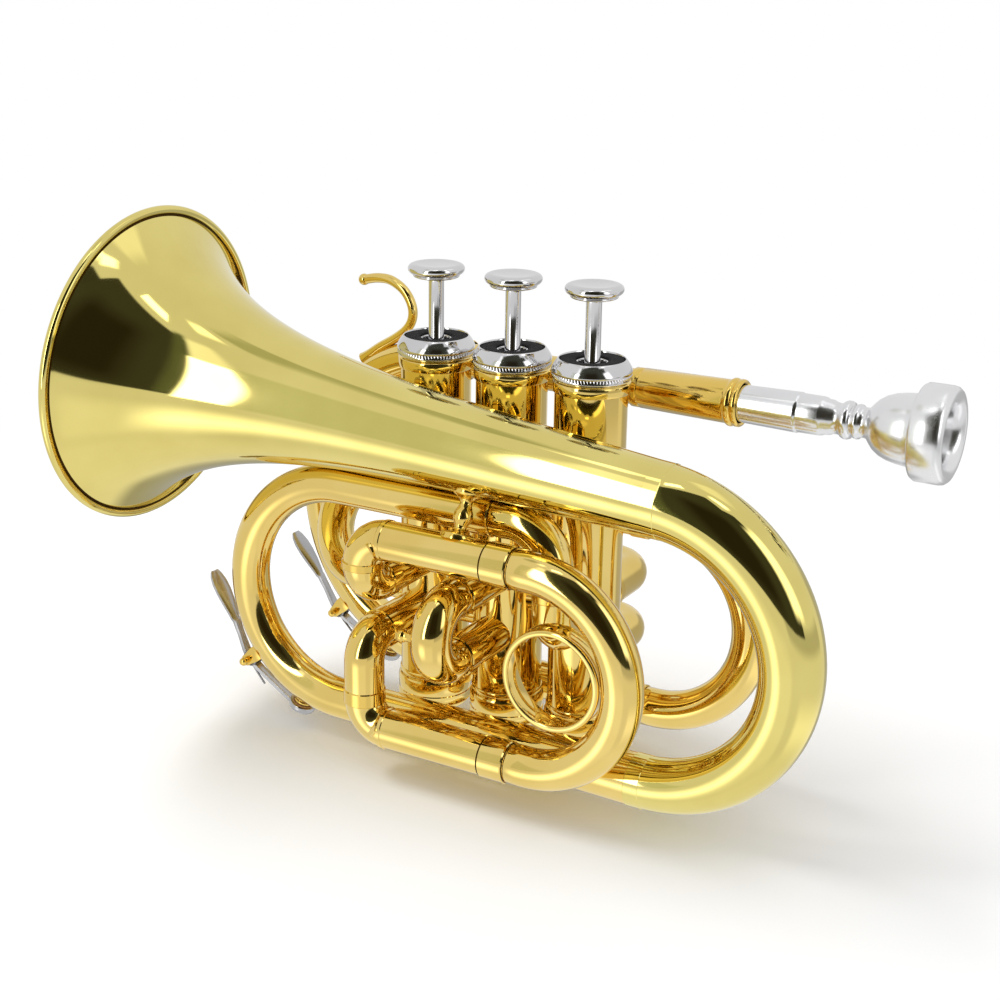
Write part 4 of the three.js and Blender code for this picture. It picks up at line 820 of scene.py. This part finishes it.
    # spring wire: a straight end under the lever on each side, then nearly two turns round the hinge
    for side, hand in ((-1, "left"), (1, "right")):
        coil = Path((-9.0, side * 1.1, 0.9), X).run(7.0)
        for i in range(1, 40):
            a = math.radians(90 - i * COIL_TURN)
            coil.along.append(coil.along[-1] + COIL_STEP)
            coil.points.append(Vector((COIL_R * math.cos(a), side * (1.2 + 0.012 * i), COIL_R * math.sin(a))))
            coil.headings.append(Vector((math.sin(a), 0, -math.cos(a))))
        spring = tube(coil, 0.32, 0, 12)
        spring.data.transform(place)
        settle(spring, f"water_key_spring_{number}_{hand}", wire, body, "spring_steel")


# How many degrees below its bow's outermost point each key stands; the bow's lean gives its place along Y
TAIL_KEY, LEAD_KEY = 39.5, 45
key_at = run_long + TAIL_R * math.radians(90 - TAIL_KEY)
tail_key_y = RUN_Y + (DROP_Y - RUN_Y) * eased(key_at / tail_path.along[-1])
lead_key_y = LEAD_Y + (TUNE_Y - LEAD_Y) * eased((90 + LEAD_KEY) / 180)
water_key(1, (TAIL_X, tail_key_y, BOTTOM + TAIL_R), TAIL_R, bell_radius(tail_from + key_at), TAIL_KEY,
          "tail_water_key")
water_key(2, (LEAD_X, lead_key_y, LOW + LEAD_R), LEAD_R, SLEEVE_R, LEAD_KEY, "lead_water_key")

# Finishes of the pieces inside the valves
for number in VALVE_X:
    for name, finish in (("piston", monel), ("valve_spring", wire), ("valve_guide", nylon)):
        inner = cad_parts[f"{name}_{number}"]
        inner.data.materials.clear()
        inner.data.materials.append(finish)

# Floor, light and camera, in metres
FLOOR_Z = -0.0655
# the paper's shadows fade out between these distances from the middle
FADE_FROM, FADE_TO = 0.16, 0.42
bpy.ops.object.select_all(action="DESELECT")
bpy.ops.mesh.primitive_plane_add(size=6, location=(0, 0, FLOOR_Z))
floor = bpy.context.active_object
floor.name = "floor"
# White paper: plain near the trumpet, where its shadow falls, and bare white far off, so that no edge shows
paper = new_finish("white paper sweep")
place = node(paper, "ShaderNodeTexCoord").outputs["Object"]
away = node(paper, "ShaderNodeVectorMath", {"operation": "LENGTH"}, in_0=place)
far = node(paper, "ShaderNodeMapRange", {"interpolation_type": "SMOOTHSTEP"}, Value=away.outputs["Value"],
           From_Min=FADE_FROM, From_Max=FADE_TO)
rays = node(paper, "ShaderNodeLightPath")
bare = node(paper, "ShaderNodeMath", {"operation": "MULTIPLY"}, in_0=far.outputs[0],
            in_1=rays.outputs["Is Camera Ray"])
sheet = node(paper, "ShaderNodeBsdfDiffuse", Color=linear("#FAFAFA"))
glow = node(paper, "ShaderNodeEmission", Color=(1, 1, 1, 1), Strength=1.0)
out(paper, node(paper, "ShaderNodeMixShader", Fac=bare.outputs[0], in_1=sheet.outputs[0], in_2=glow.outputs[0]))
floor.data.materials.append(paper)
# the metal mirrors the tent below it, and not the shadow on the paper
floor.visible_glossy = False

# The light tent: a dome round the trumpet, 0.4 m in radius, which shows in reflections only
TENT_R = 0.4
bpy.ops.object.select_all(action="DESELECT")
bpy.ops.mesh.primitive_uv_sphere_add(segments=96, ring_count=48, radius=TENT_R, location=(0, 0, 0))
dome = bpy.context.active_object
dome.name = "light tent"
dome.visible_camera = dome.visible_diffuse = dome.visible_shadow = dome.visible_transmission = False
cloth = new_finish("tent cloth, lamps and opening")
dome.data.materials.append(cloth)
FRONT = math.radians(48)
sight = node(cloth, "ShaderNodeVectorMath", {"operation": "NORMALIZE"},
             in_0=node(cloth, "ShaderNodeTexCoord").outputs["Object"]).outputs[0]
split = node(cloth, "ShaderNodeSeparateXYZ", Vector=sight)
backwards = node(cloth, "ShaderNodeMath", {"operation": "MULTIPLY"}, in_0=split.outputs["Y"], in_1=-1.0)
azimuth = node(cloth, "ShaderNodeMath", {"operation": "ARCTAN2"}, in_0=split.outputs["X"],
               in_1=backwards.outputs[0])
height = node(cloth, "ShaderNodeMath", {"operation": "ARCSINE"}, in_0=split.outputs["Z"])
# the height over the front side of the tent, by which an upright frame there has a straight top
ahead = node(cloth, "ShaderNodeVectorMath", {"operation": "DOT_PRODUCT"}, in_0=sight,
             in_1=(math.sin(FRONT), -math.cos(FRONT), 0))
rise = node(cloth, "ShaderNodeMath", {"operation": "ARCTAN2"}, in_0=split.outputs["Z"],
            in_1=ahead.outputs["Value"])


def edge(angle, middle, half, soft):
    """1 where an angle is within half of the middle, 0 outside it, soft between; degrees."""
    off = node(cloth, "ShaderNodeMath", {"operation": "SUBTRACT"}, in_0=angle.outputs[0],
               in_1=math.radians(middle))
    size = node(cloth, "ShaderNodeMath", {"operation": "ABSOLUTE"}, in_0=off.outputs[0])
    return node(cloth, "ShaderNodeMapRange", {"interpolation_type": "SMOOTHSTEP"}, Value=size.outputs[0],
                From_Min=math.radians(half + soft), From_Max=math.radians(half - soft))


def hang(tent, low, high, bottom, top, colour, soft, up=height):
    """Hangs a panel in the tent: its azimuths from -Y towards +X, its heights, its colour and its soft edge."""
    across = edge(azimuth, (low + high) / 2, (high - low) / 2, soft)
    upright = edge(up, (bottom + top) / 2, (top - bottom) / 2, soft)
    inside = node(cloth, "ShaderNodeMath", {"operation": "MULTIPLY"}, in_0=across.outputs[0],
                  in_1=upright.outputs[0])
    return node(cloth, "ShaderNodeMix", {"data_type": "RGBA"}, Factor=inside.outputs[0], in_6=tent,
                in_7=colour).outputs[2]


def grey(level):
    return (level, level, level, 1)


tent = grey(0.82)
for panel in (
        # the cloth low down, with darker folds behind and brighter places under the opening
        (-181, 181, -91, -50, grey(0.92), 8),
        (-170, -118, -62, -14, grey(0.42), 8),
        (138, 181, -45, 8, grey(0.5), 6),
        (40, 120, -9, 1, grey(0.55), 3),
        (-34, 34, -48, -17, grey(0.95), 6),
        (-34, -8, -36, -20, grey(2.1), 11),
        (60, 140, -46, -30, grey(1.15), 8),
        # greenish folds high on the left and beside the opening
        (-76, -42, 66, 75, (0.5, 0.52, 0.42, 1), 3),
        (-30, -19, -4, 44, (0.66, 0.69, 0.6, 1), 2),
        # the lamps that shine through it, high up and beside the opening
        (-18, -8, 38, 58, grey(1.3), 2),
        (112, 150, 58, 74, grey(1.15), 5),
        (-33, -19, 68, 75, grey(1.9), 2),
        (0, 32, 73.5, 78, grey(3.5), 1, rise),
        (78, 92, 60, 69, grey(3), 2),
        # the opening on the dark room, on the camera's side
        (55, 77, -2.5, 59, (0.045, 0.047, 0.035, 1), 1, rise),
        (-8, 62, -2.5, 69, (0.05, 0.052, 0.038, 1), 0.9, rise),
        (-8, -3, -1, 60, (0.11, 0.13, 0.08, 1), 2),
        (10, 48, 2, 50, (0.022, 0.018, 0.01, 1), 8),
        # the bright strips at its two sides
        (68, 86, 6, 46, grey(2.0), 4),
        (-17.5, -8, -3, 42, grey(5), 1)):
    tent = hang(tent, *panel)
out(cloth, node(cloth, "ShaderNodeEmission", Color=tent, Strength=1.0))

# The room: plain soft light for the trumpet, and bare white behind it
world = bpy.data.worlds.new("white room")
bpy.context.scene.world = world
world.use_nodes = True
world.node_tree.nodes.clear()
rays = node(world, "ShaderNodeLightPath")
lit = node(world, "ShaderNodeBackground", Color=grey(0.85), Strength=1.0)
white = node(world, "ShaderNodeBackground", Color=(1, 1, 1, 1), Strength=1.0)
both = node(world, "ShaderNodeMixShader", Fac=rays.outputs["Is Camera Ray"], in_1=lit.outputs[0],
            in_2=white.outputs[0])
node(world, "ShaderNodeOutputWorld", Surface=both.outputs[0])

bpy.ops.object.light_add(type="AREA", location=(-0.55, -0.12, 0.85))
softbox = bpy.context.active_object
softbox.name = "softbox over the bell"
softbox.data.shape = "RECTANGLE"
softbox.data.size, softbox.data.size_y = 0.7, 0.2
softbox.data.energy = 5
softbox.rotation_euler = (-softbox.location).to_track_quat("-Z", "Y").to_euler()
softbox.visible_glossy = False

# The camera stands where the photograph was taken from: its turn from -Y towards +X, its height and its roll
AZ, EL, ROLL = 0.525, 0.322, 0.015
# its place was found with valves 24 mm apart, and they are 25 mm apart: back, right and up from the caps
GROW = 25 / 24
BACK, RIGHT, UPWARDS = 479.386, -3.323, -41.067
# the lens's length and the picture's width, both in picture points
FOCUS, PICTURE, SENSOR_MM = 1800, 1000, 36
back = Vector((math.sin(AZ) * math.cos(EL), -math.cos(AZ) * math.cos(EL), math.sin(EL)))
right = Vector((math.cos(AZ), math.sin(AZ), 0))
up = back.cross(right)
right, up = (math.cos(ROLL) * right + math.sin(ROLL) * up, -math.sin(ROLL) * right + math.cos(ROLL) * up)
eye = back * BACK * GROW + right * RIGHT * GROW + up * UPWARDS * GROW + Vector((0, 0, CAP_TOP))
lens = bpy.data.cameras.new("camera")
lens.lens = FOCUS / PICTURE * SENSOR_MM
lens.sensor_width = SENSOR_MM
lens.clip_start, lens.clip_end = 0.01, 20
camera = bpy.data.objects.new("camera", lens)
bpy.context.collection.objects.link(camera)
camera.matrix_world = Matrix.Translation(eye * MM) @ Matrix((right, up, back)).transposed().to_4x4()
bpy.context.scene.camera = camera
bpy.context.scene.view_settings.view_transform = "Standard"

bpy.context.view_layer.update()
